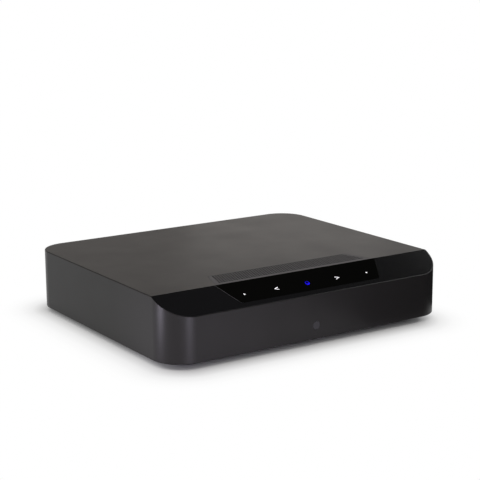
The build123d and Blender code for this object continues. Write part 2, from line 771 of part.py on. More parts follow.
def touch_ribbon_socket():
    """Limits of the socket under the touch board, in the slope's own directions."""
    top = -(FASCIA_THICKNESS + SLOPE_WALL + TOUCH_BOARD_THICKNESS)
    y = -(SLOPE_LENGTH - TOUCH_FRONT_MARGIN) / 2
    return y, top


def ribbon_sockets():
    y, top = touch_ribbon_socket()
    spare = 4 * RIBBON_THICKNESS
    body = Box(RIBBON_WIDTH + spare, RIBBON_SOCKET_DEPTH, RIBBON_SOCKET_HEIGHT)
    sockets = [SLOPE_PLANE * Pos(TOUCH_RIBBON_X, y, top - RIBBON_SOCKET_HEIGHT / 2) * body]
    low_y = BOARD_FRONT_Y + RIBBON_SOCKET_DEPTH
    for x, width in ((TOUCH_RIBBON_X, RIBBON_WIDTH), (0, RIBBON_WIDTH / 2)):
        size = (width + spare, RIBBON_SOCKET_DEPTH, RIBBON_SOCKET_HEIGHT)
        sockets.append(seated(x, low_y, BOARD_TOP_Z, *size))
    return group(sockets)


def ribbon_end():
    """Where a flat cable enters its socket on the main board, as Y and Z."""
    return BOARD_FRONT_Y + RIBBON_SOCKET_DEPTH / 2, BOARD_TOP_Z + RIBBON_SOCKET_HEIGHT / 2


def touch_ribbon():
    """Flat cable from the touch board's underside to the main board."""
    y, top = touch_ribbon_socket()
    start = SLOPE_PLANE.from_local_coords(Vector(0, y, top - RIBBON_SOCKET_HEIGHT))
    knee = start - SLOPE_PLANE.z_dir * 3 * RIBBON_BEND
    end_y, end_z = ribbon_end()
    points = [(start.Y, start.Z), (knee.Y, knee.Z), (knee.Y + 2 * RIBBON_BEND, end_z), (end_y, end_z)]
    return flat_ribbon(points, TOUCH_RIBBON_X, RIBBON_WIDTH)


# Vent and infrared parts
def vent_holes():
    """Centres of the vent's holes, in staggered rows inside its border."""
    row_pitch = VENT_PITCH * math.sqrt(3) / 2
    clear = VENT_BORDER + VENT_HOLE_RADIUS
    rows = int((VENT_LENGTH - 2 * clear) / row_pitch) + 1
    first = RIDGE_Y + (VENT_LENGTH - (rows - 1) * row_pitch) / 2
    taper = (VENT_FRONT_WIDTH - VENT_REAR_WIDTH) / 2 / VENT_LENGTH
    centres = []
    for row in range(rows):
        y = first + row * row_pitch
        half = VENT_FRONT_WIDTH / 2 - (y - RIDGE_Y) * taper - clear
        shift = VENT_PITCH / 2 * (row % 2)
        count = int((half - shift) / VENT_PITCH)
        for step in range(-count - row % 2, count + 1):
            centres.append((step * VENT_PITCH + shift, y))
    return centres


def vent_grille():
    outline = vent_outline(-FIT_GAP)
    holes = [Pos(x, y) * Circle(VENT_HOLE_RADIUS) for x, y in vent_holes()]
    face = Face(outline.face().outer_wire(), [hole.wire() for hole in holes])
    return extrude(DECK_PLANE * face, amount=-VENT_THICKNESS, dir=(0, 0, 1))


def infrared_window():
    z = BOTTOM_Z + WINDOW_HEIGHT
    window = rod((0, FRONT_Y, z), REARWARD, WINDOW_RADIUS, COVER_WALL)
    flange = WINDOW_RADIUS + WINDOW_FLANGE
    return window + rod((0, INNER_FRONT_Y, z), REARWARD, flange, WINDOW_FLANGE_THICKNESS)


def receiver_back():
    return INNER_FRONT_Y + WINDOW_FLANGE_THICKNESS + PASS_GAP + RECEIVER_LENS_RADIUS + RECEIVER_DEPTH


def infrared_receiver():
    z = BOTTOM_Z + WINDOW_HEIGHT
    back = receiver_back()
    front = back - RECEIVER_DEPTH
    half = RECEIVER_WIDTH / 2
    low = z - RECEIVER_HEIGHT / 2
    case = block((-half, half), (front, back), (low, low + RECEIVER_HEIGHT))
    return case + Pos(0, front, z) * Sphere(RECEIVER_LENS_RADIUS)


def receiver_board():
    """Small upright board that stands on the base plate behind the window."""
    back = receiver_back()
    half = RECEIVER_BOARD_WIDTH / 2
    y = (back, back + TOUCH_BOARD_THICKNESS)
    return block((-half, half), y, (BASE_TOP_Z, BASE_TOP_Z + RECEIVER_BOARD_HEIGHT))


def receiver_ribbon():
    """Flat cable from the receiver's board to the main board."""
    start_y = receiver_back() + TOUCH_BOARD_THICKNESS
    start_z = BASE_TOP_Z + RECEIVER_BOARD_HEIGHT - RIBBON_WIDTH / 4
    end_y, end_z = ribbon_end()
    knee_y = start_y + 3 * RIBBON_BEND
    foot_y = end_y - 3 * RIBBON_BEND
    points = [(start_y, start_z), (knee_y, start_z), (foot_y, end_z), (end_y, end_z)]
    return flat_ribbon(points, 0, RIBBON_WIDTH / 2)


def flat_ribbons():
    return group([touch_ribbon(), receiver_ribbon()])


# Rear sockets
def mouth(x, z, width, height, back, front):
    """A box-shaped space of a socket, centred on x and z."""
    return block((x - width / 2, x + width / 2), (back, front), (z - height / 2, z + height / 2))


def socket_case(x, width, height, depth):
    """A socket's case on its board, reaching the rear panel's outer face."""
    y = (PANEL_FACE_Y - depth, PANEL_FACE_Y)
    return block((x - width / 2, x + width / 2), y, (BOARD_TOP_Z, BOARD_TOP_Z + height))


def inlet_cavity(grow):
    """The two-lobed hollow of the mains inlet."""
    x = at_panel("inlet")
    z = BOARD_TOP_Z + INLET_HEIGHT / 2
    back = PANEL_FACE_Y - INLET_CAVITY_DEPTH
    length = INLET_CAVITY_DEPTH + OVERRUN
    cavity = mouth(x, z, INLET_PIN_SPACING, INLET_WAIST_HEIGHT + grow, back, back + length)
    for side in (-1, 1):
        start = (x + side * INLET_PIN_SPACING / 2, back, z)
        cavity += rod(start, REARWARD, INLET_LOBE_RADIUS + grow, length)
    return cavity


def mains_inlet():
    x = at_panel("inlet")
    case = socket_case(x, INLET_WIDTH, INLET_HEIGHT, INLET_DEPTH) - inlet_cavity(0)
    z = BOARD_TOP_Z + INLET_HEIGHT / 2
    for side in (-1, 1):
        start = (x + side * INLET_PIN_SPACING / 2, PANEL_FACE_Y - INLET_DEPTH, z)
        case -= rod(start, REARWARD, INLET_PIN_RADIUS, INLET_DEPTH)
    return case


def inlet_pins():
    x = at_panel("inlet")
    z = BOARD_TOP_Z + INLET_HEIGHT / 2
    back = PANEL_FACE_Y - INLET_CAVITY_DEPTH - INLET_PIN_ROOT
    pins = []
    for side in (-1, 1):
        start = (x + side * INLET_PIN_SPACING / 2, back, z)
        pin = rod(start, REARWARD, INLET_PIN_RADIUS, INLET_PIN_ROOT + INLET_PIN_REACH)
        tip = pin.edges().group_by(Axis.Y)[-1]
        pins.append(fillet(tip, INLET_PIN_RADIUS / 2))
    return group(pins)


def network_middle_z():
    return BOARD_TOP_Z + NETWORK_CAVITY_FLOOR + NETWORK_CAVITY_HEIGHT / 2


def network_socket():
    x = at_panel("network")
    case = socket_case(x, NETWORK_WIDTH, NETWORK_HEIGHT, NETWORK_DEPTH)
    back = PANEL_FACE_Y - NETWORK_CAVITY_DEPTH
    front = PANEL_FACE_Y + OVERRUN
    z = network_middle_z()
    case -= mouth(x, z, NETWORK_CAVITY_WIDTH, NETWORK_CAVITY_HEIGHT, back, front)
    low = z - NETWORK_CAVITY_HEIGHT / 2
    latch = (low - NETWORK_LATCH_HEIGHT, low + NETWORK_LATCH_HEIGHT)
    half = NETWORK_LATCH_WIDTH / 2
    return case - block((x - half, x + half), (back, front), latch)


def network_contacts():
    """Eight spring wires under the roof of the network socket."""
    x = at_panel("network")
    roof = network_middle_z() + NETWORK_CAVITY_HEIGHT / 2
    back = PANEL_FACE_Y - NETWORK_CAVITY_DEPTH
    wires = []
    for step in range(NETWORK_CONTACTS):
        middle = x + (step - (NETWORK_CONTACTS - 1) / 2) * NETWORK_CONTACT_PITCH
        half = NETWORK_CONTACT_WIDTH / 2
        z = (roof - NETWORK_CONTACT_RISE, roof)
        wires.append(block((middle - half, middle + half), (back, back + NETWORK_CONTACT_LENGTH), z))
    return group(wires)


def data_socket():
    x = at_panel("data")
    shell = socket_case(x, DATA_WIDTH, DATA_HEIGHT, DATA_DEPTH)
    width, height = DATA_WIDTH - 2 * DATA_SHELL, DATA_HEIGHT - 2 * DATA_SHELL
    z = BOARD_TOP_Z + DATA_HEIGHT / 2
    back, front = PANEL_FACE_Y - DATA_DEPTH, PANEL_FACE_Y + OVERRUN
    return shell - mouth(x, z, width, height, back + DATA_SHELL, front)


def data_tongue():
    x = at_panel("data")
    z = BOARD_TOP_Z + DATA_HEIGHT / 2
    back = PANEL_FACE_Y - DATA_DEPTH + DATA_SHELL
    width, height = DATA_WIDTH - 2 * DATA_SHELL, DATA_HEIGHT - 2 * DATA_SHELL
    root = mouth(x, z, width, height, back, back + DATA_ROOT_DEPTH)
    top = z + height / 2 - DATA_SHELL
    half = DATA_TONGUE_WIDTH / 2
    y = (back, back + DATA_ROOT_DEPTH + DATA_TONGUE_LENGTH)
    return root + block((x - half, x + half), y, (top - DATA_TONGUE_HEIGHT, top))


def video_outline(grow):
    """The bevelled outline of the video socket, on X and Z about its middle."""
    half, low = VIDEO_WIDTH / 2 + grow, -VIDEO_HEIGHT / 2 - grow
    high, bevel = VIDEO_HEIGHT / 2 + grow, VIDEO_BEVEL
    return Polygon(
        (-half, high), (-half, low + bevel), (bevel - half, low),
        (half - bevel, low), (half, low + bevel), (half, high),
    )


def video_solid(grow, back, front):
    x = at_panel("video")
    z = BOARD_TOP_Z + VIDEO_HEIGHT / 2
    plane = Plane(origin=(x, back, z), x_dir=(1, 0, 0), z_dir=(0, -1, 0))
    return extrude(plane * video_outline(grow), amount=front - back, dir=REARWARD)


def video_socket():
    back = PANEL_FACE_Y - VIDEO_DEPTH
    shell = video_solid(0, back, PANEL_FACE_Y)
    return shell - video_solid(-VIDEO_SHELL, back + VIDEO_SHELL, PANEL_FACE_Y + OVERRUN)


def video_tongue():
    x = at_panel("video")
    z = BOARD_TOP_Z + VIDEO_HEIGHT / 2
    back = PANEL_FACE_Y - VIDEO_DEPTH + VIDEO_SHELL
    root = video_solid(-VIDEO_SHELL, back, back + VIDEO_ROOT_DEPTH)
    front = back + VIDEO_ROOT_DEPTH + VIDEO_TONGUE_LENGTH
    return root + mouth(x, z, VIDEO_TONGUE_WIDTH, VIDEO_TONGUE_HEIGHT, back, front)


def socket_tongues():
    return group([data_tongue(), video_tongue()])


def optical_middle_z():
    return BOARD_TOP_Z + OPTICAL_FLOOR + OPTICAL_MOUTH_HEIGHT / 2


def shutter_pin():
    """Y and Z of the shutter's hinge pin, at the top of the optical mouth."""
    roof = optical_middle_z() + OPTICAL_MOUTH_HEIGHT / 2
    reach = SHUTTER_THICKNESS / 2 + SHUTTER_GAP
    return PANEL_FACE_Y - SHUTTER_INSET - SHUTTER_THICKNESS / 2, roof - reach


def optical_socket():
    x = at_panel("optical")
    case = socket_case(x, OPTICAL_WIDTH, OPTICAL_HEIGHT, OPTICAL_DEPTH)
    z = optical_middle_z()
    back = PANEL_FACE_Y - OPTICAL_MOUTH_DEPTH
    front = PANEL_FACE_Y + OVERRUN
    case -= mouth(x, z, OPTICAL_MOUTH_WIDTH, OPTICAL_MOUTH_HEIGHT, back, front)
    pin_y, pin_z = shutter_pin()
    reach = SHUTTER_PIN_REACH + FIT_GAP
    start = (x - OPTICAL_MOUTH_WIDTH / 2 - reach, pin_y, pin_z)
    length = OPTICAL_MOUTH_WIDTH + 2 * reach
    case -= rod(start, (1, 0, 0), SHUTTER_PIN_RADIUS + PIN_RUNNING_GAP, length)
    return case


def optical_shutter():
    """Flap that closes the optical mouth, with its hinge pin in one piece."""
    x = at_panel("optical")
    pin_y, pin_z = shutter_pin()
    half = OPTICAL_MOUTH_WIDTH / 2 - SHUTTER_GAP
    low = optical_middle_z() - OPTICAL_MOUTH_HEIGHT / 2 + SHUTTER_GAP
    y = (pin_y - SHUTTER_THICKNESS / 2, pin_y + SHUTTER_THICKNESS / 2)
    flap = block((x - half, x + half), y, (low, pin_z))
    flap += rod((x - half, pin_y, pin_z), (1, 0, 0), SHUTTER_THICKNESS / 2, 2 * half)
    reach = OPTICAL_MOUTH_WIDTH / 2 + SHUTTER_PIN_REACH
    start = (x - reach, pin_y, pin_z)
    return flap + rod(start, (1, 0, 0), SHUTTER_PIN_RADIUS, 2 * reach)


def phono_heights():
    first = BOARD_TOP_Z + PHONO_FIRST_HEIGHT
    return (first, first + PHONO_PITCH)


def phono_block(pair):
    """Moulded block that carries two phono sockets, one over the other."""
    x = at_panel(pair)
    y = (PANEL_BACK_Y - PHONO_BLOCK_DEPTH, PANEL_BACK_Y - FIT_GAP)
    half = PHONO_BLOCK_WIDTH / 2
    heights = phono_heights()
    body = block((x - half, x + half), y, (BOARD_TOP_Z, heights[1] + PHONO_TOP_COVERAGE))
    for z in heights:
        body += rod((x, y[1], z), REARWARD, PHONO_NOSE_RADIUS, PANEL_FACE_Y - y[1])
        hole = PHONO_ROOT_RADIUS + FIT_GAP
        body -= rod((x, y[0] + OVERRUN, z), REARWARD, hole, PHONO_BLOCK_DEPTH + OVERRUN)
    return body


def phono_blocks():
    return group([phono_block("digital_pair"), phono_block("line_pair")])


def phono_places():
    """Centres of the four phono sockets: digital pair, then line pair."""
    return [(at_panel(pair), z) for pair in ("digital_pair", "line_pair") for z in phono_heights()]


def phono_back():
    return PANEL_BACK_Y - PHONO_BLOCK_DEPTH + OVERRUN


def phono_barrels():
    """Plated barrels, each with a slimmer root that passes through its collar."""
    barrels = []
    shoulder = PANEL_FACE_Y + PHONO_COLLAR + PASS_GAP
    tip = PANEL_FACE_Y + PHONO_COLLAR + PHONO_BARREL
    for x, z in phono_places():
        start = (x, phono_back(), z)
        barrel = rod((x, shoulder, z), REARWARD, PHONO_BARREL_RADIUS, tip - shoulder)
        barrel = fillet(barrel.edges().group_by(Axis.Y)[-1], PHONO_BARREL_WALL / 3)
        barrel += rod(start, REARWARD, PHONO_ROOT_RADIUS, shoulder - phono_back())
        bore = PHONO_BARREL_RADIUS - PHONO_BARREL_WALL
        barrels.append(barrel - rod(start, REARWARD, bore, tip - phono_back() + OVERRUN))
    return group(barrels)


def phono_cores():
    """Insulators inside the barrels, with the hole for the plug's pin."""
    cores = []
    tip = PANEL_FACE_Y + PHONO_COLLAR + PHONO_BARREL - PHONO_CORE_SETBACK
    for x, z in phono_places():
        core = rod((x, phono_back(), z), REARWARD, PHONO_CORE_RADIUS, tip - phono_back())
        start = (x, tip - PHONO_HOLE_DEPTH, z)
        cores.append(core - rod(start, REARWARD, PHONO_HOLE_RADIUS, PHONO_HOLE_DEPTH + OVERRUN))
    return group(cores)


def colour_ring(place):
    """Coloured collar round one phono barrel, against the rear panel's outer face."""
    x, z = phono_places()[place]
    start = (x, PANEL_FACE_Y, z)
    ring = rod(start, REARWARD, PHONO_COLLAR_RADIUS, PHONO_COLLAR)
    ring = fillet(ring.edges().group_by(Axis.Y)[-1], PHONO_COLLAR / 4)
    return ring - rod(start, REARWARD, PHONO_ROOT_RADIUS + FIT_GAP, PHONO_COLLAR)


def orange_ring():
    return colour_ring(0)


def black_ring():
    return colour_ring(1)


def red_ring():
    return colour_ring(2)


def white_ring():
    return colour_ring(3)


def jack_places():
    """X and Z of the three 3.5 mm jacks."""
    low = BOARD_TOP_Z + JACK_FIRST_HEIGHT
    control = at_panel("control_jacks")
    return [(at_panel("input_jack"), low), (control, low), (control, low + JACK_PITCH)]


def jack_column(x, top):
    """Case of one jack or of two stacked jacks, on the main board."""
    y = (PANEL_BACK_Y - JACK_DEPTH, PANEL_BACK_Y - FIT_GAP)
    half = JACK_WIDTH / 2
    return block((x - half, x + half), y, (BOARD_TOP_Z, top + JACK_HEIGHT / 2))


def jack_sockets():
    places = jack_places()
    columns = [jack_column(*places[0]), jack_column(*places[2])]
    cases = []
    for column, jacks in zip(columns, (places[:1], places[1:])):
        case = column
        for x, z in jacks:
            back = PANEL_BACK_Y - FIT_GAP
            case += rod((x, back, z), REARWARD, JACK_NOSE_RADIUS, REAR_Y - back)
            start = (x, REAR_Y - JACK_BORE_DEPTH, z)
            case -= rod(start, REARWARD, JACK_BORE_RADIUS, JACK_BORE_DEPTH + OVERRUN)
        cases.append(case)
    return group(cases)


def jack_nuts():
    """Bright rings round the jacks, against the rear panel's outer face."""
    nuts = []
    for x, z in jack_places():
        start = (x, PANEL_FACE_Y, z)
        nut = rod(start, REARWARD, JACK_NUT_RADIUS, JACK_NUT_THICKNESS)
        hole = JACK_NOSE_RADIUS + THREAD_GAP
        nuts.append(nut - rod(start, REARWARD, hole, JACK_NUT_THICKNESS))
    return group(nuts)


def reset_place():
    return at_panel("reset"), BOARD_TOP_Z + RESET_HEIGHT


def reset_button():
    """Cap, skirt and stem in one piece; the stem runs in the switch behind it."""
    x, z = reset_place()
    skirt_y = PANEL_BACK_Y - FIT_GAP - RESET_SKIRT
    cap = rod((x, skirt_y, z), REARWARD, RESET_RADIUS, PANEL_FACE_Y + RESET_PROUD - skirt_y)
    cap = fillet(cap.edges().group_by(Axis.Y)[-1], RESET_PROUD / 2)
    button = cap + rod((x, skirt_y, z), REARWARD, RESET_SKIRT_RADIUS, RESET_SKIRT)
    stem_tip = switch_face() - SWITCH_SLACK
    return button + rod((x, stem_tip, z), REARWARD, RESET_STEM, skirt_y - stem_tip)


def switch_face():
    """The switch's face stands behind the button's skirt by the travel and some slack."""
    return PANEL_BACK_Y - FIT_GAP - RESET_SKIRT - RESET_TRAVEL - SWITCH_SLACK


def reset_switch():
    x, z = reset_place()
    half = SWITCH_SIZE / 2
    y = (switch_face() - SWITCH_DEPTH, switch_face())
    case = block((x - half, x + half), y, (BOARD_TOP_Z, z + half))
    depth = SWITCH_SLACK + RESET_TRAVEL + SWITCH_SLACK
    return case - rod((x, y[1] - depth, z), REARWARD, RESET_STEM + RESET_GAP, depth + OVERRUN)


def panel_cuts():
    """Every hole in the rear panel, a little wider than what passes through it."""
    back, front = PANEL_BACK_Y - OVERRUN, PANEL_FACE_Y + OVERRUN
    cuts = [video_solid(PASS_GAP, back, front)]
    cases = (
        ("inlet", INLET_WIDTH, INLET_HEIGHT),
        ("network", NETWORK_WIDTH, NETWORK_HEIGHT),
        ("data", DATA_WIDTH, DATA_HEIGHT),
        ("optical", OPTICAL_WIDTH, OPTICAL_HEIGHT),
    )
    for name, width, height in cases:
        z = BOARD_TOP_Z + height / 2
        wide, tall = width + 2 * PASS_GAP, height + 2 * PASS_GAP
        cuts.append(mouth(at_panel(name), z, wide, tall, back, front))
    rounds = [(place, PHONO_NOSE_RADIUS) for place in phono_places()]
    rounds += [(place, JACK_NOSE_RADIUS) for place in jack_places()]
    for (x, z), radius in rounds:
        cuts.append(rod((x, back, z), REARWARD, radius + FIT_GAP, front - back))
    x, z = reset_place()
    cuts.append(rod((x, back, z), REARWARD, RESET_RADIUS + RESET_GAP, front - back))
    return cuts


# Main board
def drilled_board(limits):
    """A board with its corner screw holes."""
    board = block(limits, (BOARD_FRONT_Y, BOARD_REAR_Y), (BOARD_BOTTOM_Z, BOARD_TOP_Z))
    for x, y in board_screw_places(limits):
        hole = BOARD_SCREW_RADIUS + FIT_GAP
        board -= rod((x, y, BOARD_BOTTOM_Z), UPWARD, hole, BOARD_THICKNESS)
    for x, z in panel_screw_places():
        outer = math.copysign(BOARD_HALF + OVERRUN, x)
        notch = ear_block(x, BOARD_BOTTOM_Z, BOARD_TOP_Z, PASS_GAP)
        side = (min(x, outer), max(x, outer))
        y = (PANEL_BACK_Y - PANEL_SCREW_LENGTH - PASS_GAP, PANEL_BACK_Y)
        board -= notch + block(side, y, (BOARD_BOTTOM_Z, BOARD_TOP_Z))
    return board


def main_board():
    return drilled_board(MAIN_X)


PROCESSOR_SHARES = (0.52, 0.46)
MEMORY_SHARES = ((0.27, 0.40), (0.27, 0.52))
CONVERTER_SHARES = ((0.22, 0.68), (0.32, 0.68))
MODULE_SHARES = (0.24, 0.13)
SMALL_CAPACITOR_SHARES = (
    (0.13, 0.68), (0.13, 0.76), (0.42, 0.68), (0.50, 0.68), (0.76, 0.62), (0.84, 0.62),
)


def processor():
    x, y = on_board(MAIN_X, *PROCESSOR_SHARES)
    return seated(x, y, BOARD_TOP_Z, CHIP_SIDE, CHIP_SIDE, CHIP_HEIGHT)


def thermal_pad():
    x, y = on_board(MAIN_X, *PROCESSOR_SHARES)
    return seated(x, y, BOARD_TOP_Z + CHIP_HEIGHT, PAD_SIDE, PAD_SIDE, PAD_HEIGHT)


def heat_sink():
    x, y = on_board(MAIN_X, *PROCESSOR_SHARES)
    low = BOARD_TOP_Z + CHIP_HEIGHT + PAD_HEIGHT
    sink = seated(x, y, low, SINK_SIDE, SINK_SIDE, SINK_BASE)
    pitch = (SINK_SIDE - SINK_FIN_THICKNESS) / (SINK_FINS - 1)
    for step in range(SINK_FINS):
        fin_x = x + (step - (SINK_FINS - 1) / 2) * pitch
        sink += seated(fin_x, y, low + SINK_BASE, SINK_FIN_THICKNESS, SINK_SIDE, SINK_FIN_HEIGHT)
    return sink


def seated_parts(shares, width, depth, height):
    """Like parts on the main board, at places given as shares of the board."""
    places = [on_board(MAIN_X, *share) for share in shares]
    return group([seated(x, y, BOARD_TOP_Z, width, depth, height) for x, y in places])


def memory_chips():
    return seated_parts(MEMORY_SHARES, MEMORY_WIDTH, MEMORY_DEPTH, MEMORY_HEIGHT)


def converter_chips():
    return seated_parts(CONVERTER_SHARES, SMALL_CHIP_SIDE, SMALL_CHIP_SIDE, SMALL_CHIP_HEIGHT)


def can_capacitor(x, y, radius, height):
    """A can capacitor standing on a board, with its rounded rim and grooved neck."""
    can = rod((x, y, BOARD_TOP_Z), UPWARD, radius, height)
    can = fillet(can.edges().group_by(Axis.Z)[-1], radius / 8)
    neck = rod((x, y, BOARD_TOP_Z + height / 8), UPWARD, radius + OVERRUN, radius / 8)
    neck -= rod((x, y, BOARD_TOP_Z), UPWARD, radius * 7 / 8, height)
    return can - neck


def small_capacitors():
    places = [on_board(MAIN_X, *share) for share in SMALL_CAPACITOR_SHARES]
    size = (SMALL_CAPACITOR_RADIUS, SMALL_CAPACITOR_HEIGHT)
    return [can_capacitor(x, y, *size) for x, y in places]


def wireless_module():
    x, y = on_board(MAIN_X, *MODULE_SHARES)
    return seated(x, y, BOARD_TOP_Z, MODULE_WIDTH, MODULE_DEPTH, MODULE_HEIGHT)


def shield_can():
    x, y = on_board(MAIN_X, *MODULE_SHARES)
    low = BOARD_TOP_Z + MODULE_HEIGHT
    width, depth = MODULE_WIDTH - 2 * SHIELD_MARGIN, MODULE_DEPTH - 2 * SHIELD_MARGIN
    can = seated(x, y, low, width, depth, SHIELD_HEIGHT)
    inner = (width - 2 * SHIELD_WALL, depth - 2 * SHIELD_WALL, SHIELD_HEIGHT - SHIELD_WALL)
    return can - seated(x, y, low, *inner)


def antenna_y():
    """Middle of the antennas, between the front and middle cover screws."""
    places = [y for x, y in cover_boss_places()]
    return (min(places) + MIDDLE_Y) / 2


def antennas():
    """Two small antenna boards stuck to the insides of the side walls."""
    strips = []
    low = BASE_TOP_Z + ANTENNA_RISE
    for side in (-1, 1):
        outer, inner = side * INNER_SIDE, side * (INNER_SIDE - ANTENNA_THICKNESS)
        y = (antenna_y() - ANTENNA_LENGTH / 2, antenna_y() + ANTENNA_LENGTH / 2)
        strips.append(block((min(outer, inner), max(outer, inner)), y, (low, low + ANTENNA_HEIGHT)))
    return group(strips)


def antenna_leads():
    """Thin leads from the wireless module's shield to the antennas."""
    leads = []
    low = BOARD_TOP_Z + MODULE_HEIGHT + SHIELD_HEIGHT
    high = BASE_TOP_Z + ANTENNA_RISE + ANTENNA_HEIGHT / 2
    x, y = on_board(MAIN_X, *MODULE_SHARES)
    for side in (-1, 1):
        x_start = x + side * LEAD_BEND
        end = side * (INNER_SIDE - ANTENNA_THICKNESS)
        y_end = antenna_y()
        points = [(x_start, y, low), (x_start, y, high), (x_start, y_end, high), (end, y_end, high)]
        if abs(y_end - y) < 2 * LEAD_BEND:
            points = [(x_start, y, low), (x_start, y, high), (end, y, high)]
        leads.append(tube(points, LEAD_RADIUS, LEAD_BEND / 2))
    return group(leads)


# Power board
POWER_FUSE_SHARES = (0.24, 0.66)
FILTER_SHARES = (0.66, 0.66)
BULK_SHARES = (0.28, 0.44)
TRANSFORMER_SHARES = (0.50, 0.22)
PLATE_SHARES = (0.80, 0.42)
OUTPUT_CAPACITOR_SHARES = ((0.28, 0.055), (0.50, 0.055), (0.72, 0.055))
POWER_PLUG_SHARES = (0.09, 0.30)
MAIN_PLUG_SHARES = (0.95, 0.30)


def power_board():
    return drilled_board(POWER_X)


def insulating_sheet():
    """Thin sheet on the base plate under the power board, cut round its bosses."""
    y = (BOARD_FRONT_Y, BOARD_REAR_Y - INLET_DEPTH)
    sheet = block(POWER_X, y, (BASE_TOP_Z, BASE_TOP_Z + SHEET_THICKNESS))
    for x, y in board_screw_places(POWER_X):
        hole = BOARD_BOSS_RADIUS + PASS_GAP
        sheet -= rod((x, y, BASE_TOP_Z), UPWARD, hole, SHEET_THICKNESS)
    return sheet


def mains_fuse():
    """Fuse held in two clips."""
    x, y = on_board(POWER_X, *POWER_FUSE_SHARES)
    z = BOARD_TOP_Z + FUSE_RADIUS + THREAD_GAP
    clips = [rod((x, y - FUSE_LENGTH / 2, z), REARWARD, FUSE_RADIUS, FUSE_LENGTH)]
    for side in (-1, 1):
        middle = y + side * (FUSE_LENGTH - FUSE_CLIP) / 2
        width = 2 * (FUSE_RADIUS + FUSE_CLIP / 4)
        clip = seated(x, middle, BOARD_TOP_Z, width, FUSE_CLIP, FUSE_RADIUS * 3 / 2)
        hole = FUSE_RADIUS + THREAD_GAP
        clips.append(clip - rod((x, middle - FUSE_CLIP, z), REARWARD, hole, 2 * FUSE_CLIP))
    return group(clips)


def line_filter():
    """Common-mode coil: a core frame between two wound drums."""
    x, y = on_board(POWER_X, *FILTER_SHARES)
    frame = seated(x, y, BOARD_TOP_Z, FILTER_WIDTH, FILTER_DEPTH, FILTER_HEIGHT)
    z = BOARD_TOP_Z + FILTER_HEIGHT / 2
    for side in (-1, 1):
        drum = side * FILTER_DEPTH / 2
        start = (x, y + drum - (FILTER_COIL_LENGTH if side < 0 else 0), z)
        frame += rod(start, REARWARD, FILTER_COIL_RADIUS, FILTER_COIL_LENGTH)
    return frame


def bulk_capacitor():
    x, y = on_board(POWER_X, *BULK_SHARES)
    return can_capacitor(x, y, BULK_RADIUS, BULK_HEIGHT)


def power_transformer():
    """Winding block with a core that stands out at both ends."""
    x, y = on_board(POWER_X, *TRANSFORMER_SHARES)
    winding = seated(x, y, BOARD_TOP_Z, TRANSFORMER_WIDTH, TRANSFORMER_DEPTH, TRANSFORMER_HEIGHT)
    winding = fillet(winding.edges().filter_by(Axis.Z), CORE_OVERHANG)
    core_depth = TRANSFORMER_DEPTH + 2 * CORE_OVERHANG
    core = seated(x, y, BOARD_TOP_Z, CORE_WIDTH, core_depth, TRANSFORMER_HEIGHT + CORE_OVERHANG)
    return winding + core


def power_heat_plate():
    x, y = on_board(POWER_X, *PLATE_SHARES)
    return seated(x, y, BOARD_TOP_Z, PLATE_THICKNESS, PLATE_LENGTH, PLATE_HEIGHT)


def switching_transistor():
    """Transistor flat against the heat plate, standing on the board."""
    x, y = on_board(POWER_X, *PLATE_SHARES)
    face = x - PLATE_THICKNESS / 2
    half = TRANSISTOR_WIDTH / 2
    z = (BOARD_TOP_Z, BOARD_TOP_Z + TRANSISTOR_HEIGHT)
    return block((face - TRANSISTOR_DEPTH, face), (y - half, y + half), z)


def can_capacitors():
    """Can capacitors: small ones on the main board, output ones on the power board."""
    places = [on_board(POWER_X, *share) for share in OUTPUT_CAPACITOR_SHARES]
    size = (OUTPUT_CAPACITOR_RADIUS, OUTPUT_CAPACITOR_HEIGHT)
    return group(small_capacitors() + [can_capacitor(x, y, *size) for x, y in places])


def plug_places():
    return on_board(MAIN_X, *MAIN_PLUG_SHARES), on_board(POWER_X, *POWER_PLUG_SHARES)


def lead_plugs():
    """The two connectors at the ends of the power leads."""
    size = (PLUG_WIDTH, PLUG_LENGTH, PLUG_HEIGHT)
    return group([seated(x, y, BOARD_TOP_Z, *size) for x, y in plug_places()])


def power_leads():
    """Four leads that bridge the gap between the boards in a low arch."""
    (x_main, y_main), (x_power, y_power) = plug_places()
    wires = []
    top = BOARD_TOP_Z + PLUG_HEIGHT
    for step in range(WIRES):
        shift = (step - (WIRES - 1) / 2) * WIRE_PITCH
        start, end = (x_main, y_main + shift, top), (x_power, y_power + shift, top)
        high = top + WIRE_RISE
        points = [start, (x_main, y_main + shift, high), (x_power, y_power + shift, high), end]
        wires.append(tube(points, WIRE_RADIUS, WIRE_BEND))
    return group(wires)


NODES = (
    top_cover, base_plate, rear_panel, rubber_feet, casing_screws, board_screws,
    slope_fascia, touch_panel, touch_signs, status_ring, light_guide, touch_board,
    indicator_lamps, ribbon_sockets, flat_ribbons, vent_grille, infrared_window,
    infrared_receiver, receiver_board, mains_inlet, inlet_pins, network_socket,
    network_contacts, data_socket, video_socket, socket_tongues, optical_socket,
    optical_shutter, phono_blocks, phono_barrels, phono_cores, orange_ring, black_ring,
    red_ring, white_ring, jack_sockets, jack_nuts, reset_button, reset_switch, main_board,
    processor, thermal_pad, heat_sink, memory_chips, converter_chips, can_capacitors,
    wireless_module, shield_can, antennas, antenna_leads, power_board, insulating_sheet,
    mains_fuse, line_filter, bulk_capacitor, power_transformer, power_heat_plate,
    switching_transistor, lead_plugs, power_leads,
)

os.makedirs("parts", exist_ok=True)
for make in NODES:
    export_step(make(), os.path.join("parts", make.__name__ + ".step"))
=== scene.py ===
import json
import math

import bmesh
import bpy
from bpy.props import FloatProperty, FloatVectorProperty, IntProperty, PointerProperty
from mathutils import Matrix, Vector
from mathutils.geometry import convex_hull_2d

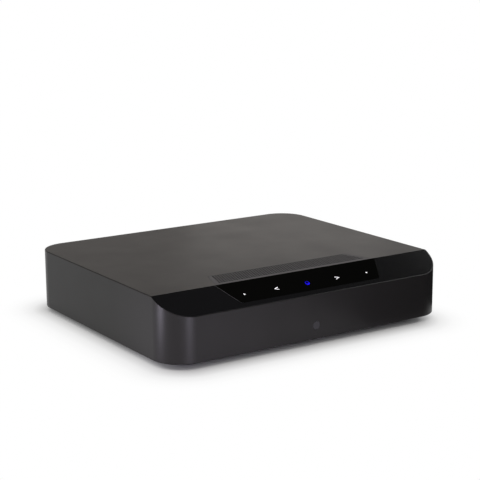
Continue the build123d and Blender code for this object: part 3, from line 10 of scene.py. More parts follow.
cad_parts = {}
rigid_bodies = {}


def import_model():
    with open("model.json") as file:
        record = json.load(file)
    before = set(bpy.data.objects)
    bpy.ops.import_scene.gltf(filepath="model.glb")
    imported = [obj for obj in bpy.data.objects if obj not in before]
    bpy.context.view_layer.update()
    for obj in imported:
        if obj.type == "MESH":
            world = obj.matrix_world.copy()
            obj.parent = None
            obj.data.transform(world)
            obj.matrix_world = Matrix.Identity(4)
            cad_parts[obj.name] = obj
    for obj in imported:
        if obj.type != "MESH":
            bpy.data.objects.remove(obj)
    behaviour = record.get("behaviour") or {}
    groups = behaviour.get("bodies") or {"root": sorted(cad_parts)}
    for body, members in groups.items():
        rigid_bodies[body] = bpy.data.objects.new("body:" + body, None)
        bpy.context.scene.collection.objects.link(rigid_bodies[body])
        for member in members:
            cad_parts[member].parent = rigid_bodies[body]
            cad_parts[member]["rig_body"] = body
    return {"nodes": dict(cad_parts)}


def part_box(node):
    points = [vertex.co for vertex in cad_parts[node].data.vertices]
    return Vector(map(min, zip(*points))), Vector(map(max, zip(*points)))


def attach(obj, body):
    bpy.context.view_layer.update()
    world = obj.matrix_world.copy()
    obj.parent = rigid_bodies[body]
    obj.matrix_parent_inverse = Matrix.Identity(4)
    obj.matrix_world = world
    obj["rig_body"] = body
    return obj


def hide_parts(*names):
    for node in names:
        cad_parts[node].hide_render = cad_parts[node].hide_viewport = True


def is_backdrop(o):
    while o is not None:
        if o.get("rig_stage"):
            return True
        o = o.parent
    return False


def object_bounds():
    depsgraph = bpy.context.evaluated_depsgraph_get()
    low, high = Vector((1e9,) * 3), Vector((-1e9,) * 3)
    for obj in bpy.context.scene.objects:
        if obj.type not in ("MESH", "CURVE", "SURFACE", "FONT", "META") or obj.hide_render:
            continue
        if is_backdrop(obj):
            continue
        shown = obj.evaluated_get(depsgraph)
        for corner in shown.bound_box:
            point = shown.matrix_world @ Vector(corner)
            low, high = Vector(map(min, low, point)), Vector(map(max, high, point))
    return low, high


bl_info = {
    "name": "Music streamer looks",
    "version": (1, 0, 0),
    "blender": (4, 5, 0),
    "location": "View3D > Sidebar > Streamer",
    "description": "Dresses the packed model of a network music streamer for a studio picture",
    "category": "Object",
}

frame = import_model()
NODES = frame["nodes"]
MM = 0.001
CREASE = math.radians(28)
WELD = 0.002 * MM
NEAR = 0.01 * MM


# Node trees, for finishes and for repeats
def both_ways(operation):
    """An operator between a socket and something else, and its reflected form."""
    def forward(self, other):
        return self.math(operation, self, other)

    def reflected(self, other):
        return self.math(operation, other, self)
    return forward, reflected


class Wire:
    """An output socket that Python's operators can work on."""

    def __init__(self, bench, socket):
        self.bench = bench
        self.socket = socket

    def math(self, operation, *sides):
        return self.bench.node("ShaderNodeMath", {"operation": operation}, dict(enumerate(sides)))

    __add__, __radd__ = both_ways("ADD")
    __sub__, __rsub__ = both_ways("SUBTRACT")
    __mul__, __rmul__ = both_ways("MULTIPLY")
    __truediv__, __rtruediv__ = both_ways("DIVIDE")
    __mod__, __rmod__ = both_ways("MODULO")
    __pow__, __rpow__ = both_ways("POWER")
    # Python reflects > and < into each other
    __gt__ = both_ways("GREATER_THAN")[0]
    __lt__ = both_ways("LESS_THAN")[0]

    def __floordiv__(self, other):
        return self.math("FLOOR", self / other)

    def size(self):
        return self.math("ABSOLUTE", self)

    def larger(self, other):
        return self.math("MAXIMUM", self, other)


class Bench:
    """A node tree that is being built."""

    def __init__(self, tree):
        self.tree = tree

    def node(self, kind, settings=None, inputs=None, output=0):
        """One node: its settings first, then the values or links of its sockets."""
        made = self.tree.nodes.new(kind)
        for name, value in (settings or {}).items():
            if name == "stops":
                fill_ramp(made.color_ramp, value)
            else:
                setattr(made, name, value)
        for key, value in (inputs or {}).items():
            for one in value if isinstance(value, list) else [value]:
                if isinstance(one, Wire):
                    self.tree.links.new(one.socket, made.inputs[key])
                else:
                    made.inputs[key].default_value = one
        return Wire(self, made.outputs[output]) if made.outputs else None


def fill_ramp(ramp, stops):
    """Sets a colour ramp to (place, grey or colour) stops."""
    while len(ramp.elements) < len(stops):
        ramp.elements.new(0.5)
    for element, (place, value) in zip(ramp.elements, stops):
        element.position = place
        element.color = (value, value, value, 1) if isinstance(value, float) else (*value, 1)


def opaque(colour):
    """A colour's three values with full alpha, or the socket that it already is."""
    return colour if isinstance(colour, Wire) else (*colour, 1)


def scaled(colour, factor):
    return tuple(part * factor for part in colour)


class Finish(Bench):
    """One material, read in the object's own coordinates."""

    def __init__(self, name):
        self.material = bpy.data.materials.new(name)
        self.material.use_nodes = True
        super().__init__(self.material.node_tree)
        self.tree.nodes.clear()
        self.place = self.node("ShaderNodeTexCoord", output="Object")

    def noise(self, size, detail=2.0, roughness=0.5, stretch=(1, 1, 1)):
        """Noise whose grains are about a size across, stretched along the axes."""
        scale = tuple(part / size for part in stretch)
        spread = self.node("ShaderNodeMapping", None, {"Vector": self.place, "Scale": scale})
        sockets = {"Vector": spread, "Scale": 1.0, "Detail": detail, "Roughness": roughness}
        return self.node("ShaderNodeTexNoise", {"normalize": True}, sockets, "Fac")

    def speckle(self, size):
        """Distance to the nearest of scattered spots that lie about a size apart."""
        sockets = {"Vector": self.place, "Scale": 1 / size}
        return self.node("ShaderNodeTexVoronoi", {"feature": "F1"}, sockets, "Distance")

    def axis(self, letter):
        return self.node("ShaderNodeSeparateXYZ", None, {0: self.place}, letter)

    def ramp(self, factor, *stops):
        return self.node("ShaderNodeValToRGB", {"stops": stops}, {"Fac": factor})

    def blend(self, factor, first, second):
        """A mix of two colours, each a socket or three values."""
        settings = {"data_type": "RGBA", "clamp_factor": True}
        return self.node("ShaderNodeMix", settings, {0: factor, 6: opaque(first), 7: opaque(second)}, 2)

    def bump(self, height, depth, strength=1.0, normal=None):
        sockets = {"Height": height, "Distance": depth, "Strength": strength}
        if normal:
            sockets["Normal"] = normal
        return self.node("ShaderNodeBump", None, sockets)

    def shade(self, colour, roughness, normal=None, **constants):
        """The surface shader, and the material's output."""
        sockets = {"Base Color": opaque(colour), "Roughness": roughness}
        if normal:
            sockets["Normal"] = normal
        for name, value in constants.items():
            sockets[name.replace("_", " ")] = value
        surface = self.node("ShaderNodeBsdfPrincipled", None, sockets)
        self.node("ShaderNodeOutputMaterial", None, {"Surface": surface})
        return self.material


FINISHES = {}


def finish(make):
    """Marks a function that makes a material; it is made once and then shared."""
    def once():
        if make.__name__ not in FINISHES:
            FINISHES[make.__name__] = make(Finish(make.__name__))
        return FINISHES[make.__name__]
    once.__name__ = make.__name__
    return once


def sizes(name):
    """A group of the scene's own sizes and colours."""
    return getattr(bpy.context.scene, name)


# Finishes of the casing
@finish
def cover_paint(f):
    """Satin paint over a moulding: a fine sprayed grain, a faint cloudiness, and painted shade on the narrow
    strip of the cover round the fascia.
    """
    look = sizes("casing_look")
    grain = f.noise(look.paint_grain, 3.0, 0.6)
    peel = f.noise(look.paint_grain * 6, 2.0)
    cloud = f.noise(45 * MM, 2.0)
    colour = f.blend(f.ramp(cloud, (0.35, 0.0), (0.65, 1.0)), look.paint, look.paint_light)
    speck = f.ramp(f.speckle(look.paint_grain * 1.3), (0.0, 1.0), (0.25, 0.0))
    colour = f.blend(speck * 0.06, colour, (0.12, 0.115, 0.11))
    # painted shade: the paint that lies in the slope's plane, the narrow strip round the fascia, is darkened
    # so that it shows no light line
    slope = slope_plane("top_cover")
    up = slope.col[2].to_3d()
    height = f.axis("Y") * up.y + f.axis("Z") * up.z
    colour = f.blend(height > up.dot(slope.translation) - 0.05 * MM, colour, look.lip)
    normal = f.bump(peel, 0.012 * MM, 0.5, f.bump(grain, 0.02 * MM, 0.6))
    rough = f.noise(30 * MM) * 0.08 + (look.paint_roughness - 0.04)
    return f.shade(colour, rough, normal, Specular_IOR_Level=look.paint_sheen)


@finish
def base_coat(f):
    grain = f.noise(0.5 * MM, 3.0, 0.6)
    colour = f.blend(f.noise(20 * MM), (0.016, 0.016, 0.017), (0.026, 0.026, 0.027))
    return f.shade(colour, grain * 0.15 + 0.5, f.bump(grain, 0.06 * MM, 0.8), Specular_IOR_Level=0.35)


@finish
def panel_paint(f):
    """Matte black with a fine spark-eroded texture."""
    grain = f.noise(0.35 * MM, 3.0, 0.65)
    colour = f.blend(f.noise(18 * MM), (0.014, 0.014, 0.015), (0.022, 0.022, 0.023))
    return f.shade(colour, grain * 0.12 + 0.48, f.bump(grain, 0.045 * MM, 0.8), Specular_IOR_Level=0.4)


@finish
def foot_rubber(f):
    grain = f.noise(0.3 * MM, 4.0, 0.7)
    dust = f.ramp(f.noise(5 * MM, 3.0), (0.5, 0.0), (0.75, 1.0))
    colour = f.blend(dust * 0.35, (0.018, 0.018, 0.018), (0.05, 0.048, 0.046))
    return f.shade(colour, grain * 0.15 + 0.72, f.bump(grain, 0.05 * MM, 0.7), Specular_IOR_Level=0.3)


@finish
def zinc_steel(f):
    """Plated steel, with fine turning marks and a few dull patches."""
    marks = f.noise(0.25 * MM, 3.0, 0.6, stretch=(1, 1, 0.15))
    dull = f.ramp(f.noise(1.8 * MM), (0.45, 0.0), (0.7, 1.0))
    colour = f.blend(dull, (0.42, 0.42, 0.43), (0.30, 0.30, 0.31))
    return f.shade(colour, marks * 0.2 + 0.24, f.bump(marks, 0.01 * MM, 0.6), Metallic=1.0)


@finish
def fascia_gloss(f):
    """Polished black moulding, with a very faint waviness."""
    look = sizes("fascia_look")
    wave = f.noise(14 * MM, 1.0)
    haze = f.noise(3 * MM, 2.0)
    colour = f.blend(f.noise(40 * MM), look.gloss, scaled(look.gloss, 1.25))
    normal = f.bump(wave, 0.008 * MM, 0.5)
    return f.shade(colour, haze * 0.03 + look.gloss_roughness, normal, Specular_IOR_Level=look.gloss_sheen)


@finish
def touch_gloss(f):
    look = sizes("fascia_look")
    haze = f.noise(2 * MM, 2.0)
    colour = f.blend(f.noise(30 * MM), look.touch, scaled(look.touch, 1.4))
    return f.shade(colour, haze * 0.02 + look.touch_roughness, f.bump(haze, 0.001 * MM, 0.3),
                   Specular_IOR_Level=look.touch_sheen)


@finish
def edge_ground(f):
    """Painted highlight: a lighter strip that stands in for the light caught by the touch panel's left edge.
    """
    tone = sizes("fascia_look").edge_tone
    grain = f.noise(0.15 * MM, 3.0)
    colour = f.blend(grain, scaled(tone, 0.8), scaled(tone, 1.2))
    return f.shade(colour, grain * 0.15 + 0.35, f.bump(grain, 0.005 * MM, 0.5), Specular_IOR_Level=0.3)


@finish
def sign_ink(f):
    """White signs, lit softly from behind."""
    look = sizes("fascia_look")
    grain = f.noise(0.2 * MM, 2.0)
    colour = f.blend(grain, (0.80, 0.80, 0.80), (0.92, 0.92, 0.92))
    return f.shade(colour, grain * 0.1 + 0.4, f.bump(grain, 0.004 * MM, 0.4),
                   Emission_Color=(*look.sign_colour, 1), Emission_Strength=look.sign_glow)


@finish
def ring_light(f):
    """Blue lit ring, brightest at its front."""
    look = sizes("fascia_look")
    low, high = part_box("status_ring")
    along = (f.axis("Y") - low.y) / (high.y - low.y)
    glow = f.ramp(along, (0.0, tuple(look.ring_bright)), (1.0, tuple(look.ring_dim)))
    grain = f.noise(0.3 * MM)
    return f.shade(glow, grain * 0.1 + 0.25, f.bump(grain, 0.003 * MM, 0.3),
                   Specular_IOR_Level=0.05, Emission_Color=glow, Emission_Strength=look.ring_glow)


@finish
def grille_paint(f):
    """Satin paint on the vent's face, and painted shade on the walls inside its holes."""
    look = sizes("vent_look")
    grain = f.noise(0.4 * MM, 3.0, 0.6)
    colour = f.blend(f.noise(30 * MM), look.paint, scaled(look.paint, 1.15))
    # painted shade: below the vent's face, the walls of the holes are darkened to near black
    depth = (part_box("vent_grille")[1].z - f.axis("Z")) / (0.1 * MM)
    colour = f.blend(f.ramp(depth, (0.3, 0.0), (1.0, 1.0)), colour, (0.004, 0.004, 0.004))
    return f.shade(colour, grain * 0.1 + 0.38, f.bump(grain, 0.01 * MM, 0.5), Specular_IOR_Level=0.05)


@finish
def window_dark(f):
    look = sizes("fascia_look")
    haze = f.noise(0.8 * MM, 2.0)
    colour = f.blend(haze, look.window, scaled(look.window, 1.2))
    return f.shade(colour, haze * 0.08 + 0.22, f.bump(haze, 0.003 * MM, 0.4), Specular_IOR_Level=0.35)


# Finishes of the sockets and of the inner parts
def moulding(f, dark, light, roughness=0.45, grain_size=0.3 * MM, depth=0.02 * MM):
    """A moulded plastic: two close tones under a fine grain."""
    grain = f.noise(grain_size, 3.0, 0.6)
    colour = f.blend(f.noise(8 * MM, 2.0), dark, light)
    return f.shade(colour, grain * 0.12 + roughness, f.bump(grain, depth, 0.7), Specular_IOR_Level=0.45)


def plating(f, bright, dull, roughness=0.18):
    """A plated metal: drawn marks, and patches where the shine is less."""
    marks = f.noise(0.3 * MM, 3.0, 0.6, stretch=(1, 0.12, 1))
    patch = f.ramp(f.noise(3 * MM, 2.0), (0.4, 0.0), (0.75, 1.0))
    colour = f.blend(patch, bright, dull)
    return f.shade(colour, marks * 0.14 + roughness, f.bump(marks, 0.006 * MM, 0.5), Metallic=1.0)


@finish
def black_moulding(f):
    return moulding(f, (0.012, 0.012, 0.013), (0.022, 0.022, 0.023))


@finish
def chip_case(f):
    return moulding(f, (0.018, 0.018, 0.019), (0.03, 0.03, 0.032), 0.55, 0.2 * MM)


@finish
def white_moulding(f):
    return moulding(f, (0.72, 0.71, 0.68), (0.80, 0.79, 0.76), 0.4)


@finish
def red_moulding(f):
    return moulding(f, (0.42, 0.012, 0.012), (0.52, 0.02, 0.018), 0.35)


@finish
def orange_moulding(f):
    return moulding(f, (0.70, 0.16, 0.012), (0.80, 0.21, 0.02), 0.35)


@finish
def lamp_clear(f):
    return moulding(f, (0.78, 0.78, 0.70), (0.86, 0.86, 0.80), 0.2)


@finish
def winding_tape(f):
    """Yellow tape in overlapping turns."""
    grain = f.noise(0.4 * MM, 3.0)
    turns = f.node("ShaderNodeTexWave", {"wave_type": "BANDS", "bands_direction": "Z"},
                   {"Vector": f.place, "Scale": 0.5 / (2.2 * MM), "Distortion": 0.4}, "Fac")
    colour = f.blend(turns, (0.60, 0.40, 0.03), (0.70, 0.50, 0.06))
    return f.shade(colour, grain * 0.1 + 0.35, f.bump(turns, 0.05 * MM, 0.5))


@finish
def sleeve_blue(f):
    return moulding(f, (0.010, 0.016, 0.06), (0.016, 0.024, 0.08), 0.25)


@finish
def cable_white(f):
    """Flat cable with its conductors showing as fine stripes."""
    wave = f.node("ShaderNodeMath", {"operation": "SINE"}, {0: f.axis("X") * (math.tau / MM)})
    stripe = f.ramp(wave, (0.45, 0.0), (0.55, 1.0))
    colour = f.blend(stripe, (0.62, 0.62, 0.60), (0.76, 0.76, 0.73))
    return f.shade(colour, f.noise(0.4 * MM) * 0.1 + 0.4, f.bump(stripe, 0.02 * MM, 0.5))


@finish
def wire_sheath(f):
    return moulding(f, (0.016, 0.016, 0.016), (0.028, 0.028, 0.028), 0.5)


@finish
def silicone_pad(f):
    return moulding(f, (0.30, 0.33, 0.37), (0.36, 0.39, 0.43), 0.7)


@finish
def sheet_film(f):
    return moulding(f, (0.05, 0.05, 0.05), (0.08, 0.08, 0.08), 0.35)


@finish
def frame_ink(f):
    """Screen-printed ink, a little thin in places."""
    ink = sizes("trim_look").frame_ink
    thin = f.noise(0.3 * MM, 3.0, 0.6)
    colour = f.blend(f.ramp(thin, (0.35, 0.0), (0.6, 1.0)), scaled(ink, 0.7), ink)
    return f.shade(colour, thin * 0.1 + 0.5, f.bump(thin, 0.004 * MM, 0.4), Specular_IOR_Level=0.4)


@finish
def nickel_plate(f):
    return plating(f, (0.66, 0.64, 0.60), (0.52, 0.50, 0.47), 0.2)


@finish
def gold_plate(f):
    return plating(f, (0.86, 0.62, 0.26), (0.74, 0.50, 0.18), 0.16)


@finish
def bare_aluminium(f):
    return plating(f, (0.60, 0.60, 0.61), (0.50, 0.50, 0.51), 0.3)


@finish
def board_mask(f):
    """Green solder mask over copper runs, with tinned pads in rows."""
    cells = f.node("ShaderNodeTexVoronoi", {"feature": "DISTANCE_TO_EDGE"},
                   {"Vector": f.place, "Scale": 1 / (4 * MM)}, "Distance")
    run = f.ramp(cells, (0.03, 1.0), (0.06, 0.0))
    colour = f.blend(run, (0.008, 0.05, 0.022), (0.016, 0.09, 0.04))
    pads = f.ramp(f.speckle(2.4 * MM), (0.16, 1.0), (0.2, 0.0))
    colour = f.blend(pads, colour, (0.55, 0.52, 0.46))
    rough = f.noise(0.6 * MM) * 0.1 + 0.3
    return f.shade(colour, rough, f.bump(run + pads, 0.03 * MM, 0.6), Coat_Weight=0.3)


# Which finish each CAD node takes
DRESS = {
    cover_paint: ("top_cover",),
    base_coat: ("base_plate",),
    panel_paint: ("rear_panel",),
    foot_rubber: ("rubber_feet",),
    zinc_steel: ("casing_screws", "board_screws"),
    fascia_gloss: ("slope_fascia",),
    touch_gloss: ("touch_panel",),
    sign_ink: ("touch_signs",),
    ring_light: ("status_ring",),
    grille_paint: ("vent_grille",),
    window_dark: ("infrared_window",),
    black_moulding: (
        "light_guide", "mains_inlet", "optical_socket", "optical_shutter", "phono_blocks",
        "phono_cores", "black_ring", "jack_sockets", "reset_button", "reset_switch",
        "socket_tongues",
    ),
    chip_case: (
        "infrared_receiver", "processor", "memory_chips", "converter_chips",
        "switching_transistor",
    ),
    white_moulding: ("white_ring", "ribbon_sockets", "lead_plugs"),
    red_moulding: ("red_ring",),
    orange_moulding: ("orange_ring",),
    lamp_clear: ("indicator_lamps",),
    winding_tape: ("line_filter", "power_transformer"),
    sleeve_blue: ("can_capacitors", "bulk_capacitor"),
    cable_white: ("flat_ribbons",),
    wire_sheath: ("antenna_leads", "power_leads"),
    silicone_pad: ("thermal_pad",),
    sheet_film: ("insulating_sheet",),
    nickel_plate: (
        "inlet_pins", "network_socket", "data_socket", "video_socket", "jack_nuts",
        "shield_can", "mains_fuse",
    ),
    gold_plate: ("network_contacts", "phono_barrels"),
    bare_aluminium: ("heat_sink", "power_heat_plate"),
    board_mask: (
        "touch_board", "receiver_board", "main_board", "wireless_module", "antennas",
        "power_board",
    ),
}


def new_object(name, data):
    """An object that is linked to the scene."""
    made = bpy.data.objects.new(name, data)
    bpy.context.scene.collection.objects.link(made)
    return made


def to_mesh(work, name):
    """The mesh that a bmesh holds; the bmesh is freed."""
    mesh = bpy.data.meshes.new(name)
    work.to_mesh(mesh)
    work.free()
    return mesh


# Geometry Nodes
class Recipe(Bench):
    """A Geometry Nodes tree with named inputs, and the plain mesh that it gives."""

    def __init__(self, name):
        super().__init__(bpy.data.node_groups.new(name, "GeometryNodeTree"))
        sockets = self.tree.interface
        sockets.new_socket("Geometry", in_out="INPUT", socket_type="NodeSocketGeometry")
        sockets.new_socket("Geometry", in_out="OUTPUT", socket_type="NodeSocketGeometry")
        self.entry = self.tree.nodes.new("NodeGroupInput")
        self.values = {}

    def start(self):
        return Wire(self, self.entry.outputs["Geometry"])

    def size(self, name, value, kind="NodeSocketFloat"):
        """A named input and its value."""
        item = self.tree.interface.new_socket(name, in_out="INPUT", socket_type=kind)
        self.values[item.identifier] = value
        return Wire(self, self.entry.outputs[name])

    def place_part(self, letter):
        place = self.node("GeometryNodeInputPosition")
        return self.node("ShaderNodeSeparateXYZ", None, {0: place}, letter)

    def point(self, x=0.0, y=0.0, z=0.0):
        return self.node("ShaderNodeCombineXYZ", None, {0: x, 1: y, 2: z})

    def finish(self, geometry, material):
        """Realizes the copies, gives them their material and ends the tree."""
        real = self.node("GeometryNodeRealizeInstances", None, {"Geometry": geometry})
        self.node("NodeGroupOutput", None, {
            "Geometry": self.node("GeometryNodeSetMaterial", None, {"Geometry": real, "Material": material})})

    def modify(self, piece):
        """Puts the tree on a piece, with its inputs set by their identifiers."""
        modifier = piece.modifiers.new(self.tree.name, "NODES")
        modifier.node_group = self.tree
        for identifier, value in self.values.items():
            modifier[identifier] = value
        return modifier

    def mesh_piece(self, name, points=(), edges=()):
        """A new object that holds the tree's result on the given points as a plain mesh."""
        seed = bpy.data.meshes.new(name)
        seed.from_pydata(points, edges, [])
        holder = new_object(name, seed)
        modifier = self.modify(holder)
        graph = bpy.context.evaluated_depsgraph_get()
        mesh = bpy.data.meshes.new_from_object(holder.evaluated_get(graph), depsgraph=graph)
        holder.modifiers.remove(modifier)
        holder.data = mesh
        mesh.name = name
        return holder


def repeat(name, template, places, material):
    """One piece: copies of a template mesh at the given places."""
    stamp = new_object(name + "_template", template)
    r = Recipe(name)
    source = r.size("Template", stamp, "NodeSocketObject")
    settings = {"transform_space": "ORIGINAL"}
    shape = r.node("GeometryNodeObjectInfo", settings, {"Object": source}, "Geometry")
    sockets = {"Points": r.start(), "Instance": shape}
    r.finish(r.node("GeometryNodeInstanceOnPoints", None, sockets), material)
    piece = r.mesh_piece(name, places)
    bpy.data.objects.remove(stamp)
    return piece


def plate(r, outlines, thickness):
    """A closed plate filled between outlines and raised along +Z."""
    curves = r.node("GeometryNodeJoinGeometry", None, {"Geometry": outlines})
    face = r.node("GeometryNodeFillCurve", {"mode": "TRIANGLES"}, {"Curve": curves})
    sides = {"Mesh": face, "Offset": r.point(0.0, 0.0, 1.0)}
    sides |= {"Offset Scale": thickness, "Individual": False}
    walls = r.node("GeometryNodeExtrudeMesh", None, sides)
    under = r.node("GeometryNodeFlipFaces", None, {"Mesh": face})
    solid = r.node("GeometryNodeJoinGeometry", None, {"Geometry": [walls, under]})
    return r.node("GeometryNodeMergeByDistance", None, {"Geometry": solid, "Distance": 0.001 * MM})


# Shapes
def turned(profile, steps=64):
    """A closed solid turned about Z from (radius, height) points that start and end on the axis."""
    work = bmesh.new()
    rings = []
    for radius, height in profile:
        if radius == 0:
            rings.append([work.verts.new((0, 0, height))])
            continue
        rings.append([work.verts.new((x, y, height)) for x, y in circle(0, 0, radius, steps)])
    for lower, upper in zip(rings, rings[1:]):
        for step in range(steps):
            corners = [lower[step % len(lower)], lower[(step + 1) % len(lower)],
                       upper[(step + 1) % len(upper)], upper[step % len(upper)]]
            work.faces.new(list(dict.fromkeys(corners)))
    bmesh.ops.recalc_face_normals(work, faces=work.faces)
    mesh = to_mesh(work, "turned")
    mesh.set_sharp_from_angle(angle=CREASE)
    return mesh


def solids_of(node):
    """Lowest and highest corner of each separate solid of a CAD node."""
    work = bmesh.new()
    work.from_mesh(NODES[node].data)
    bmesh.ops.remove_doubles(work, verts=work.verts, dist=WELD)
    left, boxes = set(work.verts), []
    while left:
        reach = [left.pop()]
        places = []
        while reach:
            vertex = reach.pop()
            places.append(vertex.co.copy())
            linked = {edge.other_vert(vertex) for edge in vertex.link_edges} & left
            left -= linked
            reach.extend(linked)
        corners = (Vector(pick(place[i] for place in places) for i in range(3)) for pick in (min, max))
        boxes.append(tuple(corners))
    work.free()
    return sorted(boxes, key=lambda box: tuple(box[0]))


def paint(piece, material):
    piece.data.materials.clear()
    piece.data.materials.append(material)


def body_of_node(node):
    return NODES[node]["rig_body"]


def add_to(piece, node):
    """The piece rides with a CAD node's body and is shown beside it."""
    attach(piece, body_of_node(node))


def stand_for(piece, node):
    """The piece rides with a CAD node's body and is shown in its place."""
    add_to(piece, node)
    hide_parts(node)


def crisp_copy(node, name, rounding=0.0, chosen=None):
    """A copy of a CAD node with joined faces, chosen edges finely rounded and clean shading."""
    work = bmesh.new()
    work.from_mesh(NODES[node].data)
    bmesh.ops.remove_doubles(work, verts=work.verts, dist=WELD)
    bmesh.ops.dissolve_degenerate(work, edges=work.edges, dist=2 * WELD)
    bmesh.ops.dissolve_limit(work, angle_limit=math.radians(0.4), verts=work.verts, edges=work.edges)
    for face in work.faces:
        face.smooth = True
    weight = work.edges.layers.float.new("bevel_weight_edge")
    for edge in work.edges:
        edge.smooth = len(edge.link_faces) == 2 and edge.calc_face_angle(0) < CREASE
        edge[weight] = float(not edge.smooth and (chosen is None or chosen(edge)))
    piece = new_object(name, to_mesh(work, name))
    if rounding:
        bevel = piece.modifiers.new("rounded_edges", "BEVEL")
        bevel.width = rounding
        bevel.segments = 3
        bevel.limit_method = "WEIGHT"
        bevel.use_clamp_overlap = False
        bevel.miter_outer = "MITER_ARC"
    weigh = piece.modifiers.new("flat_faces", "WEIGHTED_NORMAL")
    weigh.mode = "FACE_AREA"
    weigh.weight = 80
    weigh.keep_sharp = True
    return piece


def outside_corner(place, high):
    """Whether a point of the cover lies on its outer walls rather than further in."""
    corner = sizes("casing_look").corner
    across = max(abs(place.x) - (high.x - corner), 0)
    along = max(place.y - (high.y - corner), 0)
    return math.hypot(across, along) > corner - 0.1 * MM


def slope_plane(node):
    """Matrix that lays the XY plane on the outer face of a node that lies in the slope."""
    faces = [face for face in NODES[node].data.polygons if face.normal.z > 0.3 and face.normal.y < -0.3]
    up = max(faces, key=lambda face: face.area).normal.copy()
    across = Vector((1, 0, 0))
    level = max(up.dot(vertex.co) for vertex in NODES[node].data.vertices)
    return Matrix.Translation(up * level) @ Matrix((across, up.cross(across), up)).transposed().to_4x4()


def raised(outlines, plane, depth, name):
    """Closed plates that fill outlines, each a list of points or of an outer and an inner ring."""
    work = bmesh.new()
    for outline in outlines:
        rings = outline if isinstance(outline[0], list) else [outline]
        loops = [[work.verts.new((x, y, 0)) for x, y in ring] for ring in rings]
        if len(loops) == 1:
            work.faces.new(loops[0])
        else:
            count = len(loops[0])
            for i in range(count):
                after = (i + 1) % count
                work.faces.new([loops[0][i], loops[0][after], loops[1][after], loops[1][i]])
    lower = bmesh.ops.extrude_face_region(work, geom=list(work.faces))["geom"]
    moved = [part for part in lower if isinstance(part, bmesh.types.BMVert)]
    bmesh.ops.translate(work, verts=moved, vec=(0, 0, -depth))
    bmesh.ops.recalc_face_normals(work, faces=work.faces)
    bmesh.ops.transform(work, matrix=plane, verts=work.verts)
    # an extrusion's parts come in another order each run, so they are sorted along a slanting line
    slant = Vector((1.0, 3.17, 7.93))
    work.verts.sort(key=lambda vertex: vertex.co.dot(slant))
    work.edges.sort(key=lambda edge: (edge.verts[0].co + edge.verts[1].co).dot(slant))
    work.faces.sort(key=lambda face: face.calc_center_median().dot(slant))
    return new_object(name, to_mesh(work, name))


def circle(x, y, radius, count=40):
    angles = [math.tau * i / count for i in range(count)]
    return [(x + radius * math.cos(angle), y + radius * math.sin(angle)) for angle in angles]


def left_edge(node, width):
    """A strip of painted highlight on the left edge of a node in the slope, which narrows to nothing round
    the front corner.
    """
    ridge_gap, rise, depth = 0.4 * MM, 0.02 * MM, 0.06 * MM
    plane = slope_plane(node)
    back = plane.inverted()
    face = [back @ vertex.co for vertex in NODES[node].data.vertices]
    flat = [place.xy for place in face if place.z > -NEAR]
    outline = [flat[i] for i in convex_hull_2d(flat)]
    left = sorted((place for place in outline if place.x < 0), key=lambda place: -place.y)
    rear, bend, tip = left[0], left[1], left[-1]
    # the strip starts a little below the ridge, so that it stays under the deck
    left[0] = rear + (bend - rear).normalized() * ridge_gap
    inner = []
    for place in left[:-1]:
        full = min(1, (place.y - tip.y) / (bend.y - tip.y))
        inner.append((place.x + width * full, place.y))
    lifted = plane @ Matrix.Translation((0, 0, rise))
    return raised([[tuple(place) for place in left] + inner[::-1]], lifted, depth, "ground_edge")


# Sizes and colours that a user would change
def colour_prop(name, description, default):
    return FloatVectorProperty(name=name, description=description, default=default,
                               size=3, subtype="COLOR", min=0, max=1)


def length_prop(name, description, default):
    return FloatProperty(name=name, description=description, default=default, unit="LENGTH")


def share_prop(name, description, default):
    return FloatProperty(name=name, description=description, default=default, min=0, max=1)


def power_prop(name, description, default):
    return FloatProperty(name=name, description=description, default=default, min=0)


class CasingLook(bpy.types.PropertyGroup):
    """Paint of the cover."""

    paint: colour_prop("Paint", "Darker tone of the cover's paint", (0.0130, 0.0122, 0.0119))
    paint_light: colour_prop("Light paint", "Lighter tone of the cover's paint", (0.0152, 0.0143, 0.0139))
    # painted shade on the narrow strip round the fascia, which would otherwise catch the light as a thin
    # bright line
    lip: colour_prop("Lip", "Tone of the narrow lip round the gloss fascia", (0.0035, 0.0034, 0.0035))
    paint_roughness: share_prop("Roughness", "Middle roughness of the paint", 0.36)
    paint_sheen: share_prop("Sheen", "Specular level of the paint", 0.16)
    rim: length_prop("Rim", "Rounding of the deck's outer edge", 0.3 * MM)
    corner: length_prop("Corner", "Corner radius of the cover, in plan", 20 * MM)
    paint_grain: length_prop("Grain", "Size of the paint's sprayed grain", 0.35 * MM)


